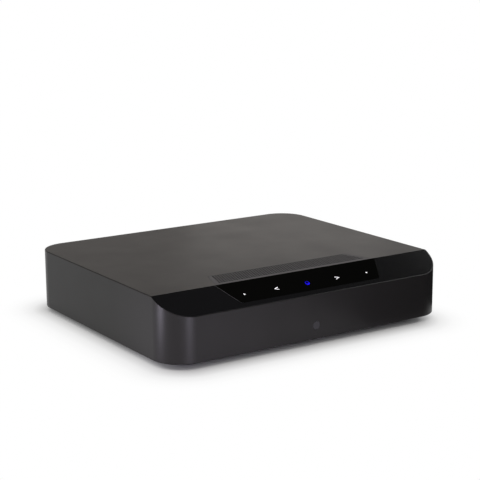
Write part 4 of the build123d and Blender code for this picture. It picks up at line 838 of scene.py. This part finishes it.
class FasciaLook(bpy.types.PropertyGroup):
    """Gloss parts on the slope, the signs and the infrared window."""

    gloss: colour_prop("Gloss", "Colour of the gloss fascia", (0.0035, 0.0035, 0.0037))
    gloss_roughness: share_prop("Gloss roughness", "Roughness of the fascia", 0.12)
    gloss_sheen: share_prop("Gloss sheen", "Specular level of the fascia", 0.12)
    touch: colour_prop("Touch panel", "Colour of the touch panel", (0.0013, 0.0013, 0.0011))
    touch_roughness: share_prop("Touch roughness", "Roughness of the touch panel", 0.06)
    touch_sheen: share_prop("Touch sheen", "Specular level of the touch panel", 0.03)
    sign_colour: colour_prop("Signs", "Light of the white signs", (0.9, 0.9, 0.92))
    sign_glow: power_prop("Sign glow", "Strength of the signs' light", 0.35)
    # painted highlight: width and colour of the lighter strip on the touch panel's left edge
    edge_line: length_prop("Edge line", "Width of the touch panel's ground left edge", 0.3 * MM)
    edge_tone: colour_prop("Edge tone", "Colour of the touch panel's ground left edge", (0.035, 0.035, 0.036))
    sign_line: length_prop("Sign line", "Width of the chevrons' strokes", 0.45 * MM)
    sign_height: length_prop("Sign height", "Height of the chevrons along the slope", 2.6 * MM)
    ring_bore: length_prop("Ring bore", "Radius of the hole in the ring", 0.95 * MM)
    ring_offset: length_prop("Ring offset", "How far the ring's hole lies behind its middle", 0.4 * MM)
    ring_bright: colour_prop("Ring front", "Ring colour at its front", (0.004, 0.001, 0.55))
    ring_dim: colour_prop("Ring rear", "Ring colour at its rear", (0.002, 0.0005, 0.26))
    ring_glow: power_prop("Ring glow", "Strength of the ring's light", 0.7)
    window: colour_prop("Infrared window", "Colour of the infrared window", (0.0145, 0.0132, 0.0162))


class VentLook(bpy.types.PropertyGroup):
    """Perforated vent behind the ridge."""

    paint: colour_prop("Paint", "Colour of the vent", (0.060, 0.0575, 0.061))
    pitch: length_prop("Pitch", "Distance between neighbouring holes", 1.9 * MM)
    row: length_prop("Row distance", "Distance between neighbouring rows of holes", 3.0 * MM)
    hole: length_prop("Hole radius", "Half the width of each hole", 0.62 * MM)
    stretch: FloatProperty(name="Hole stretch", description="Length of each hole over its width",
                           default=2.2, min=1)
    border: length_prop("Border", "Plain border, to the middle of the outermost holes", 2.1 * MM)
    rear_share: FloatProperty(name="Rear width", description="Rear width as a share of the front width",
                              default=0.877, min=0.5, max=1)
    hole_sides: IntProperty(name="Hole sides", description="Corners of each hole", default=8, min=6)


class TrimLook(bpy.types.PropertyGroup):
    """Feet, jack nuts and printed frames."""

    foot_groove: length_prop("Foot groove", "Depth of the grooves under the feet", 0.5 * MM)
    nut_bore: length_prop("Nut bore", "Bore radius of the jack nuts", 3.0 * MM)
    knurl_depth: length_prop("Knurl depth", "Depth of the knurls on the jack nuts", 0.2 * MM)
    knurls: IntProperty(name="Knurls", description="Number of knurls on a jack nut", default=30, min=6)
    frame_gap: length_prop("Frame gap", "Gap between the sockets and their printed frame", 0.9 * MM)
    frame_line: length_prop("Frame line", "Width of the printed line", 0.25 * MM)
    frame_corner: length_prop("Frame corner", "Corner radius of the printed frames", 1.2 * MM)
    frame_ink: colour_prop("Frame ink", "Colour of the printed frames", (0.30, 0.30, 0.30))


class StageLook(bpy.types.PropertyGroup):
    """Camera, floor and lamps."""

    lens: FloatProperty(name="Lens", description="Focal length in millimetres", default=98.296)
    azimuth: FloatProperty(name="Azimuth", description="Camera's turn round the object",
                           default=math.radians(-33.573), subtype="ANGLE")
    elevation: FloatProperty(name="Elevation", description="Camera's height angle",
                             default=math.radians(12.71), subtype="ANGLE")
    roll: FloatProperty(name="Roll", description="Camera's roll",
                        default=math.radians(-0.286), subtype="ANGLE")
    stand: FloatVectorProperty(name="Camera place", description="Where the camera stands",
                               default=(-486.713 * MM, -741.646 * MM, 250.823 * MM), size=3,
                               subtype="TRANSLATION", unit="LENGTH")
    floor: colour_prop("Floor", "Colour of the floor", (0.50, 0.50, 0.50))
    bounce: colour_prop("Bounce", "Colour of the floor for the light that it throws back", (0.35, 0.35, 0.36))
    shadow_reach: length_prop("Shadow reach", "Where the floor has turned fully white", 31 * MM)
    shadow_inside: length_prop("Shadow core", "How far under the object the floor begins to lighten", 16 * MM)
    shadow_narrow: length_prop("Shadow narrowing",
                               "How far the shadow's outline ends inside both sides", 4.5 * MM)
    shadow_shift: FloatVectorProperty(
        name="Shadow shift", description="Where the middle of the shadow's outline lies",
        default=(-5 * MM, -6 * MM), size=2, subtype="TRANSLATION", unit="LENGTH")
    outline_corner: length_prop("Outline corner", "Corner radius of the shadow's outline", 20 * MM)
    ambient: power_prop("Ambient", "World light on the object", 0.6)
    flag: share_prop("Flag", "Share of the plain light that the flag at the right takes away", 0.8)
    overhead: power_prop("Overhead", "Power of the soft box above", 3.5)
    right: power_prop("Right", "Power of the soft box at the right", 2.5)
    back: power_prop("Back", "Power of the low soft box behind", 0.0088)
    front_strip: power_prop("Front strip", "Power of the low lamp in front", 0.026)
    front_fill: power_prop("Front fill", "Power of the wide low lamp in front", 0.115)
    left_strip: power_prop("Left strip", "Power of the low lamp at the left", 0.0155)


LOOKS = {
    "casing_look": CasingLook,
    "fascia_look": FasciaLook,
    "vent_look": VentLook,
    "trim_look": TrimLook,
    "stage_look": StageLook,
}


# Operators
GLASS_ROUNDING = 0.05 * MM
SIGN_DEPTH = 0.1 * MM
PRINT_HEIGHT = 0.03 * MM


class STREAMER_OT_nodes(bpy.types.Operator):
    """Gives every CAD node its finish."""

    bl_idname = "streamer.nodes"
    bl_label = "Dress the CAD nodes"

    def execute(self, context):
        dressed = set()
        for make, names in DRESS.items():
            for name in names:
                paint(NODES[name], make())
                dressed.add(name)
        if dressed != set(NODES):
            raise RuntimeError(f"undressed nodes: {sorted(set(NODES) - dressed)}")
        return {"FINISHED"}


class STREAMER_OT_cover(bpy.types.Operator):
    """Cover, fascia and touch panel with finely rounded edges, and a strip of painted highlight on the
    panel's left edge.
    """

    bl_idname = "streamer.cover"
    bl_label = "Cover and slope"

    def execute(self, context):
        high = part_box("top_cover")[1]

        def on_rim(edge):
            """Whether an edge lies between the deck and an outer wall."""
            level = all(end.co.z > high.z - NEAR for end in edge.verts)
            beside_wall = any(abs(face.normal.z) < 0.1 for face in edge.link_faces)
            return level and beside_wall and all(outside_corner(end.co, high) for end in edge.verts)

        shell = crisp_copy("top_cover", "cover_shell", sizes("casing_look").rim, on_rim)
        paint(shell, cover_paint())
        stand_for(shell, "top_cover")
        face = crisp_copy("slope_fascia", "gloss_fascia")
        paint(face, fascia_gloss())
        stand_for(face, "slope_fascia")
        panel = crisp_copy("touch_panel", "touch_glass", GLASS_ROUNDING)
        paint(panel, touch_gloss())
        stand_for(panel, "touch_panel")
        # painted highlight: a lighter strip on the touch panel's left edge
        edge = left_edge("touch_panel", sizes("fascia_look").edge_line)
        paint(edge, edge_ground())
        add_to(edge, "touch_panel")
        return {"FINISHED"}


class STREAMER_OT_signs(bpy.types.Operator):
    """Lit signs on the touch panel: two dots, two chevrons and the ring."""

    bl_idname = "streamer.signs"
    bl_label = "Signs"

    def execute(self, context):
        look = sizes("fascia_look")
        plane = slope_plane("touch_signs")
        row = (plane.inverted() @ sum(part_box("status_ring"), Vector()) / 2).y
        boxes = solids_of("touch_signs")
        middles = [(low.x + high.x) / 2 for low, high in boxes]
        line = look.sign_line
        dot = (boxes[0][1].x - boxes[0][0].x) / 2
        shapes = [circle(x, row, dot) for x in (middles[0], middles[-1])]
        low, high = boxes[1]
        reach, rise = high.x - low.x, look.sign_height / 2
        for tip, way in ((low.x, 1), (boxes[-2][1].x, -1)):
            chevron = [(0, 0), (reach - line / 2, rise), (reach, rise - line), (2.1 * line, 0),
                       (reach, line - rise), (reach - line / 2, -rise)]
            shapes.append([(tip + way * x, row + y) for x, y in chevron])
        signs = raised(shapes, plane, SIGN_DEPTH, "lit_signs")
        paint(signs, sign_ink())
        stand_for(signs, "touch_signs")
        plane = slope_plane("status_ring")
        low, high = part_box("status_ring")
        middle = plane.inverted() @ (low + high) / 2
        outer = (high.x - low.x) / 2
        rings = [circle(middle.x, row, outer), circle(middle.x, row + look.ring_offset, look.ring_bore)]
        ring = raised([rings], plane, SIGN_DEPTH, "lit_ring")
        paint(ring, ring_light())
        stand_for(ring, "status_ring")
        return {"FINISHED"}


def vent_recipe():
    """A trapezoid plate with staggered holes, extruded to the vent's thickness."""
    look = sizes("vent_look")
    low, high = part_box("vent_grille")
    r = Recipe("perforated_vent")
    front = r.size("Front Width", high.x - low.x)
    rear = r.size("Rear Width", (high.x - low.x) * look.rear_share)
    length = r.size("Length", high.y - low.y)
    pitch = r.size("Pitch", look.pitch)
    hole = r.size("Hole Radius", look.hole)
    border = r.size("Border", look.border)
    thickness = r.size("Thickness", high.z - low.z)
    sides = r.size("Hole Sides", look.hole_sides, "NodeSocketInt")
    stretch = r.size("Hole Stretch", look.stretch)
    row = r.size("Row Distance", look.row) * 2.0
    across = front // pitch
    along = length // row
    counts = {"Size X": across * pitch, "Size Y": along * row}
    counts |= {"Vertices X": across + 1, "Vertices Y": along + 1}
    grid = r.node("GeometryNodeMeshGrid", None, counts)
    shift = r.point(pitch / 2, row / 2)
    second = r.node("GeometryNodeTransform", None, {"Geometry": grid, "Translation": shift})
    both = r.node("GeometryNodeJoinGeometry", None, {"Geometry": [grid, second]})
    x, y = r.place_part("X"), r.place_part("Y")
    half = front / 2 - (y + length / 2) * ((front - rear) / 2 / length)
    ahead = y < (border - length / 2)
    rear_margin = 1.2  # plain part behind the rearmost holes, in half hole lengths from their middles
    behind = y > (length / 2 - hole * stretch * rear_margin)
    outside = (x.size() > half - border).larger(ahead.larger(behind))
    sockets = {"Geometry": both, "Selection": outside}
    kept = r.node("GeometryNodeDeleteGeometry", {"domain": "POINT"}, sockets)
    edge = r.node("GeometryNodeCurvePrimitiveCircle", None, {"Resolution": sides, "Radius": hole})
    oval = r.point(1.0, stretch, 1.0)
    sockets = {"Points": kept, "Instance": edge, "Scale": oval}
    holes = r.node("GeometryNodeInstanceOnPoints", None, sockets)
    rims = r.node("GeometryNodeRealizeInstances", None, {"Geometry": holes})
    trapezoid = {"Height": length, "Bottom Width": front, "Top Width": rear, "Offset": 0.0}
    outline = r.node("GeometryNodeCurvePrimitiveQuadrilateral", {"mode": "TRAPEZOID"}, trapezoid)
    solid = plate(r, [outline, rims], thickness)
    centre = r.point(0.0, (low.y + high.y) / 2, low.z)
    placed = r.node("GeometryNodeTransform", None, {"Geometry": solid, "Translation": centre})
    r.finish(placed, grille_paint())
    return r


class STREAMER_OT_vent(bpy.types.Operator):
    """Finely perforated vent in the deck."""

    bl_idname = "streamer.vent"
    bl_label = "Vent"

    def execute(self, context):
        piece = vent_recipe().mesh_piece("vent_mesh")
        stand_for(piece, "vent_grille")
        return {"FINISHED"}


def foot_profile(radius, height, groove):
    """A foot from the middle of its underside outwards: ribs, rim, side and top."""
    rib = 0.07 * radius
    profile = [(0, groove)]
    for share in (0.28, 0.50, 0.72):
        middle = share * radius
        section = ((-1, groove), (-0.6, 0), (0.6, 0), (1, groove))
        profile += [(middle + side * rib, level) for side, level in section]
    profile += [(share * radius, level) for share, level in ((0.86, groove), (0.88, 0), (0.95, 0))]
    side = ((0.985, 0.06), (1, 0.16), (1, 0.8), (0.98, 0.82), (0, 0.82))
    return profile + [(share * radius, level * height) for share, level in side]


class STREAMER_OT_feet(bpy.types.Operator):
    """Rubber feet with moulded rings."""

    bl_idname = "streamer.feet"
    bl_label = "Feet"

    def execute(self, context):
        boxes = solids_of("rubber_feet")
        low, high = boxes[0]
        height = high.z - low.z
        profile = foot_profile((high.x - low.x) / 2, height, sizes("trim_look").foot_groove)
        centres = [(box[0] + box[1]) / 2 - Vector((0, 0, height / 2)) for box in boxes]
        piece = repeat("ribbed_feet", turned(profile), centres, foot_rubber())
        stand_for(piece, "rubber_feet")
        return {"FINISHED"}


class STREAMER_OT_nuts(bpy.types.Operator):
    """Knurled nuts of the small jacks."""

    bl_idname = "streamer.nuts"
    bl_label = "Jack nuts"

    def execute(self, context):
        look = sizes("trim_look")
        boxes = solids_of("jack_nuts")
        low, high = boxes[0]
        r = Recipe("knurled_nut")
        outer = r.size("Outer Radius", (high.x - low.x) / 2)
        bore = r.size("Bore Radius", look.nut_bore)
        depth = r.size("Knurl Depth", look.knurl_depth)
        thickness = r.size("Thickness", high.y - low.y)
        teeth = r.size("Teeth", look.knurls, "NodeSocketInt")
        corners = 4.0  # of the rim for each knurl, the first two of them in the valley
        sockets = {"Resolution": teeth * corners, "Radius": outer}
        rim = r.node("GeometryNodeCurvePrimitiveCircle", None, sockets)
        place = r.node("GeometryNodeInputPosition")
        outward = r.node("ShaderNodeVectorMath", {"operation": "NORMALIZE"}, {0: place})
        valley = r.node("GeometryNodeInputIndex") % corners < 1.5
        sockets = {0: outward, "Scale": valley * depth * -1.0}
        shift = r.node("ShaderNodeVectorMath", {"operation": "SCALE"}, sockets)
        rim = r.node("GeometryNodeSetPosition", None, {"Geometry": rim, "Offset": shift})
        hole = r.node("GeometryNodeCurvePrimitiveCircle", None, {"Resolution": 40, "Radius": bore})
        ring = plate(r, [rim, hole], thickness)
        ring = r.node("GeometryNodeTransform", None, {"Geometry": ring, "Rotation": (-math.pi / 2, 0, 0)})
        sockets = {"Points": r.start(), "Instance": ring}
        r.finish(r.node("GeometryNodeInstanceOnPoints", None, sockets), nickel_plate())
        centres = [((a.x + b.x) / 2, a.y, (a.z + b.z) / 2) for a, b in boxes]
        stand_for(r.mesh_piece("knurled_nuts", centres), "jack_nuts")
        return {"FINISHED"}


class STREAMER_OT_frames(bpy.types.Operator):
    """Thin printed frames round the groups of sockets."""

    bl_idname = "streamer.frames"
    bl_label = "Printed frames"

    def execute(self, context):
        look = sizes("trim_look")
        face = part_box("jack_nuts")[0].y
        groups = (("optical_socket", "network_socket"), ("mains_inlet",), ("jack_nuts",),
                  ("orange_ring", "black_ring"), ("red_ring", "white_ring"))
        points, edges = [], []
        gap = look.frame_gap
        for group in groups:
            boxes = [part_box(node) for node in group]
            left, right = min(box[0].x for box in boxes) - gap, max(box[1].x for box in boxes) + gap
            lower, upper = min(box[0].z for box in boxes) - gap, max(box[1].z for box in boxes) + gap
            start = len(points)
            points += [(left, face, lower), (right, face, lower), (right, face, upper), (left, face, upper)]
            edges += [(start + i, start + (i + 1) % 4) for i in range(4)]
        r = Recipe("printed_frames")
        width = r.size("Line Width", look.frame_line)
        rise = r.size("Line Height", PRINT_HEIGHT)
        corner = r.size("Corner Radius", look.frame_corner)
        line = r.node("GeometryNodeMeshToCurve", None, {"Mesh": r.start()})
        sockets = {"Curve": line, "Count": 6, "Radius": corner}
        line = r.node("GeometryNodeFilletCurve", {"mode": "POLY"}, sockets)
        sockets = {"Width": width, "Height": width}
        section = r.node("GeometryNodeCurvePrimitiveQuadrilateral", None, sockets)
        tube = r.node("GeometryNodeCurveToMesh", None, {"Curve": line, "Profile Curve": section})
        squeeze = r.point(0.0, (r.place_part("Y") - face) * (rise / width * 2.0 - 1.0), 0.0)
        tube = r.node("GeometryNodeSetPosition", None, {"Geometry": tube, "Offset": squeeze})
        r.finish(tube, frame_ink())
        piece = r.mesh_piece("printed_frames", points, edges)
        add_to(piece, "rear_panel")
        return {"FINISHED"}


class STREAMER_OT_stage(bpy.types.Operator):
    """Camera, floor, world and lamps."""

    bl_idname = "streamer.stage"
    bl_label = "Stage"

    def execute(self, context):
        look = sizes("stage_look")
        place_camera(look)
        lay_floor(look)
        lay_dark_card()
        light_world(look)
        hang_lamps(look)
        context.scene.view_settings.view_transform = "Standard"
        return {"FINISHED"}


def place_camera(look):
    a, e, roll = look.azimuth, look.elevation, look.roll
    back = Vector((math.sin(a) * math.cos(e), -math.cos(a) * math.cos(e), math.sin(e)))
    right = Vector((math.cos(a), math.sin(a), 0))
    up = back.cross(right)
    turned_right = right * math.cos(roll) + up * math.sin(roll)
    turned_up = up * math.cos(roll) - right * math.sin(roll)
    data = bpy.data.cameras.new("camera")
    data.lens = look.lens
    data.sensor_width = 36
    data.clip_start, data.clip_end = 0.01, 50
    camera = new_object("camera", data)
    turn = Matrix((turned_right, turned_up, back)).transposed()
    camera.matrix_world = Matrix.Translation(Vector(look.stand)) @ turn.to_4x4()
    bpy.context.scene.camera = camera


# share of white on the floor, from the shadow's core to where the floor is fully white
FLOOR_FADE = ((0.0, 0.0), (0.20, 0.08), (0.36, 0.42), (0.52, 0.76), (0.70, 0.92), (0.86, 0.98), (1.0, 1.0))


def lay_floor(look):
    """A wide floor that keeps the cast shadow near the object and is white further off; its grey tone inside
    the shifted and narrowed outline paints shadow on top of the cast one.
    """
    f = Finish("floor")
    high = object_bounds()[1]
    corner = look.outline_corner
    # painted shadow: the grey floor tone shows only inside this outline, and the cast shadow darkens it
    # further
    half_width = high[0] - corner - look.shadow_narrow
    across = ((f.axis("X") - look.shadow_shift[0]).size() - half_width).larger(0.0)
    along = ((f.axis("Y") - look.shadow_shift[1]).size() - (high[1] - corner)).larger(0.0)
    aside = (across ** 2.0 + along ** 2.0) ** 0.5 - corner
    inside = look.shadow_inside
    share = (aside + inside) / (look.shadow_reach + inside)
    away = f.ramp(share, *FLOOR_FADE)
    tone = f.blend(f.noise(0.4, 2.0), look.floor, scaled(look.floor, 0.985))
    plain = f.node("ShaderNodeBsdfDiffuse", None, {"Color": tone})
    bounce = f.node("ShaderNodeBsdfDiffuse", None, {"Color": (*look.bounce, 1)})
    white = f.node("ShaderNodeEmission", None, {"Color": (1, 1, 1, 1), "Strength": 1.0})
    shown = f.node("ShaderNodeMixShader", None, {0: away, 1: plain, 2: white})
    mixed = f.node("ShaderNodeMixShader", None, {0: seen_directly(f), 1: bounce, 2: shown})
    f.node("ShaderNodeOutputMaterial", None, {"Surface": mixed})
    reach = 12.0
    corners = [(-reach, -reach), (reach, -reach), (reach, reach), (-reach, reach)]
    lay_sheet("floor", corners, 0.0, f.material)


def lay_sheet(name, corners, height, material):
    """A flat piece of the stage."""
    mesh = bpy.data.meshes.new(name)
    mesh.from_pydata([(x, y, height) for x, y in corners], [], [tuple(range(len(corners)))])
    mesh.materials.append(material)
    sheet = new_object(name, mesh)
    sheet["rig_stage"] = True
    return sheet


def lay_dark_card():
    """A black card on the floor at the right, which only the gloss of the object sees."""
    f = Finish("dark_card")
    tone = f.blend(f.noise(0.05), (0.02, 0.02, 0.02), (0.03, 0.03, 0.03))
    card = f.node("ShaderNodeBsdfDiffuse", None, {"Color": tone})
    f.node("ShaderNodeOutputMaterial", None, {"Surface": card})
    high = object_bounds()[1]
    start, far, rear, height = 0.055, 1.0, 0.12, 0.3 * MM
    near, front = high[0] + 0.02, -high[1] - 0.01
    corners = [(start, -far), (far, -far), (far, rear), (near, rear), (near, front), (start, front)]
    sheet = lay_sheet("dark_card", corners, height, f.material)
    for ray in ("camera", "diffuse", "transmission", "shadow", "volume_scatter"):
        setattr(sheet, f"visible_{ray}", False)


def seen_directly(bench):
    """1 for a ray of the camera, of a gloss surface or through glass, and 0 for the rest."""
    seen = bench.node("ShaderNodeLightPath", output="Is Camera Ray")
    for kind in ("Is Glossy Ray", "Is Transmission Ray"):
        seen = seen.larger(bench.node("ShaderNodeLightPath", output=kind))
    return seen


def light_world(look):
    """White for the camera, a darker ceiling for the gloss, a plain soft light, and a flag at the right."""
    world = bpy.data.worlds.new("studio")
    world.use_nodes = True
    world.node_tree.nodes.clear()
    w = Bench(world.node_tree)
    direction = w.node("ShaderNodeTexCoord", output="Generated")
    x, y, height = (w.node("ShaderNodeSeparateXYZ", None, {0: direction}, letter) for letter in "XYZ")
    flag = w.node("ShaderNodeValToRGB", {"stops": ((0.32, 0.0), (0.62, 1.0))}, {"Fac": x * 0.94 - y * 0.34})
    stops = ((0.10, (0.95, 0.89, 0.84)), (0.40, (0.10, 0.10, 0.10)))
    ceiling = w.node("ShaderNodeValToRGB", {"stops": stops}, {"Fac": height})
    colours = {"data_type": "RGBA"}
    ceiling = w.node("ShaderNodeMix", colours, {0: flag, 6: ceiling, 7: (0.04, 0.04, 0.04, 1)}, 2)
    seen = w.node("ShaderNodeLightPath", output="Is Camera Ray")
    backdrop = w.node("ShaderNodeMix", colours, {0: seen, 6: ceiling, 7: (1, 1, 1, 1)}, 2)
    level = (1 - flag * look.flag) * look.ambient
    plain = w.node("ShaderNodeBackground", None, {"Color": (1, 1, 1, 1), "Strength": level})
    white = w.node("ShaderNodeBackground", None, {"Color": backdrop, "Strength": 1.0})
    mixed = w.node("ShaderNodeMixShader", None, {0: seen_directly(w), 1: plain, 2: white})
    w.node("ShaderNodeOutputWorld", None, {"Surface": mixed})
    bpy.context.scene.world = world


def hang_lamps(look):
    """Soft boxes above, at the right and behind, and low lamps beside the front left corner."""
    corner = (-0.09, -0.09, 0.02)
    middle = (0, 0, 0.02)
    cool = (1.0, 0.94, 1.14)
    warm = (1.0, 0.96, 0.92)
    # name, place, aim, size, spread in degrees, power, tint
    boxes = (
        ("overhead_box", (-0.35, -0.25, 0.9), middle, (0.6, 0.6), 180, look.overhead, (1.0, 0.965, 0.93)),
        ("right_box", (0.9, 0.4, 0.6), middle, (0.5, 0.5), 180, look.right, (1, 1, 1)),
        ("back_box", (0.26, 0.30, 0.12), (0.06, 0.04, 0.044), (0.2, 0.08), 120, look.back, warm),
        ("front_strip", (-0.10, -0.50, 0.022), corner, (0.05, 0.04), 40, look.front_strip, cool),
        ("front_fill", (-0.10, -0.50, 0.022), (-0.05, -0.09, 0.02), (0.05, 0.04), 60, look.front_fill, cool),
        ("left_strip", (-0.25, -0.05, 0.018), (-0.10, -0.085, 0.022), (0.02, 0.034), 50,
         look.left_strip, cool),
    )
    for name, place, aim, size, spread, power, tint in boxes:
        data = bpy.data.lights.new(name, "AREA")
        data.shape = "RECTANGLE"
        data.size, data.size_y = size
        data.spread = math.radians(spread)
        data.energy = power
        data.color = tint
        lamp = new_object(name, data)
        lamp.location = place
        lamp.rotation_euler = (Vector(aim) - Vector(place)).to_track_quat("-Z", "Y").to_euler()
        lamp.visible_camera = False


OPERATORS = (
    STREAMER_OT_nodes,
    STREAMER_OT_cover,
    STREAMER_OT_signs,
    STREAMER_OT_vent,
    STREAMER_OT_feet,
    STREAMER_OT_nuts,
    STREAMER_OT_frames,
    STREAMER_OT_stage,
)


class STREAMER_PT_looks(bpy.types.Panel):
    """Lists the operators and their sizes."""

    bl_label = "Streamer"
    bl_space_type = "VIEW_3D"
    bl_region_type = "UI"
    bl_category = "Streamer"

    def draw(self, context):
        for operator in OPERATORS:
            self.layout.operator(operator.bl_idname)
        for name, look in LOOKS.items():
            group = getattr(context.scene, name)
            for prop in look.__annotations__:
                self.layout.prop(group, prop)


def register():
    for look in LOOKS.values():
        bpy.utils.register_class(look)
    for name, look in LOOKS.items():
        setattr(bpy.types.Scene, name, PointerProperty(type=look))
    for operator in OPERATORS:
        bpy.utils.register_class(operator)
    bpy.utils.register_class(STREAMER_PT_looks)


def unregister():
    bpy.utils.unregister_class(STREAMER_PT_looks)
    for operator in reversed(OPERATORS):
        bpy.utils.unregister_class(operator)
    for name in LOOKS:
        delattr(bpy.types.Scene, name)
    for look in reversed(LOOKS.values()):
        bpy.utils.unregister_class(look)


def main():
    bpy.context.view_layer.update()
    register()
    for operator in OPERATORS:
        getattr(bpy.ops.streamer, operator.bl_idname.split(".")[1])()


if __name__ == "__main__":
    main()
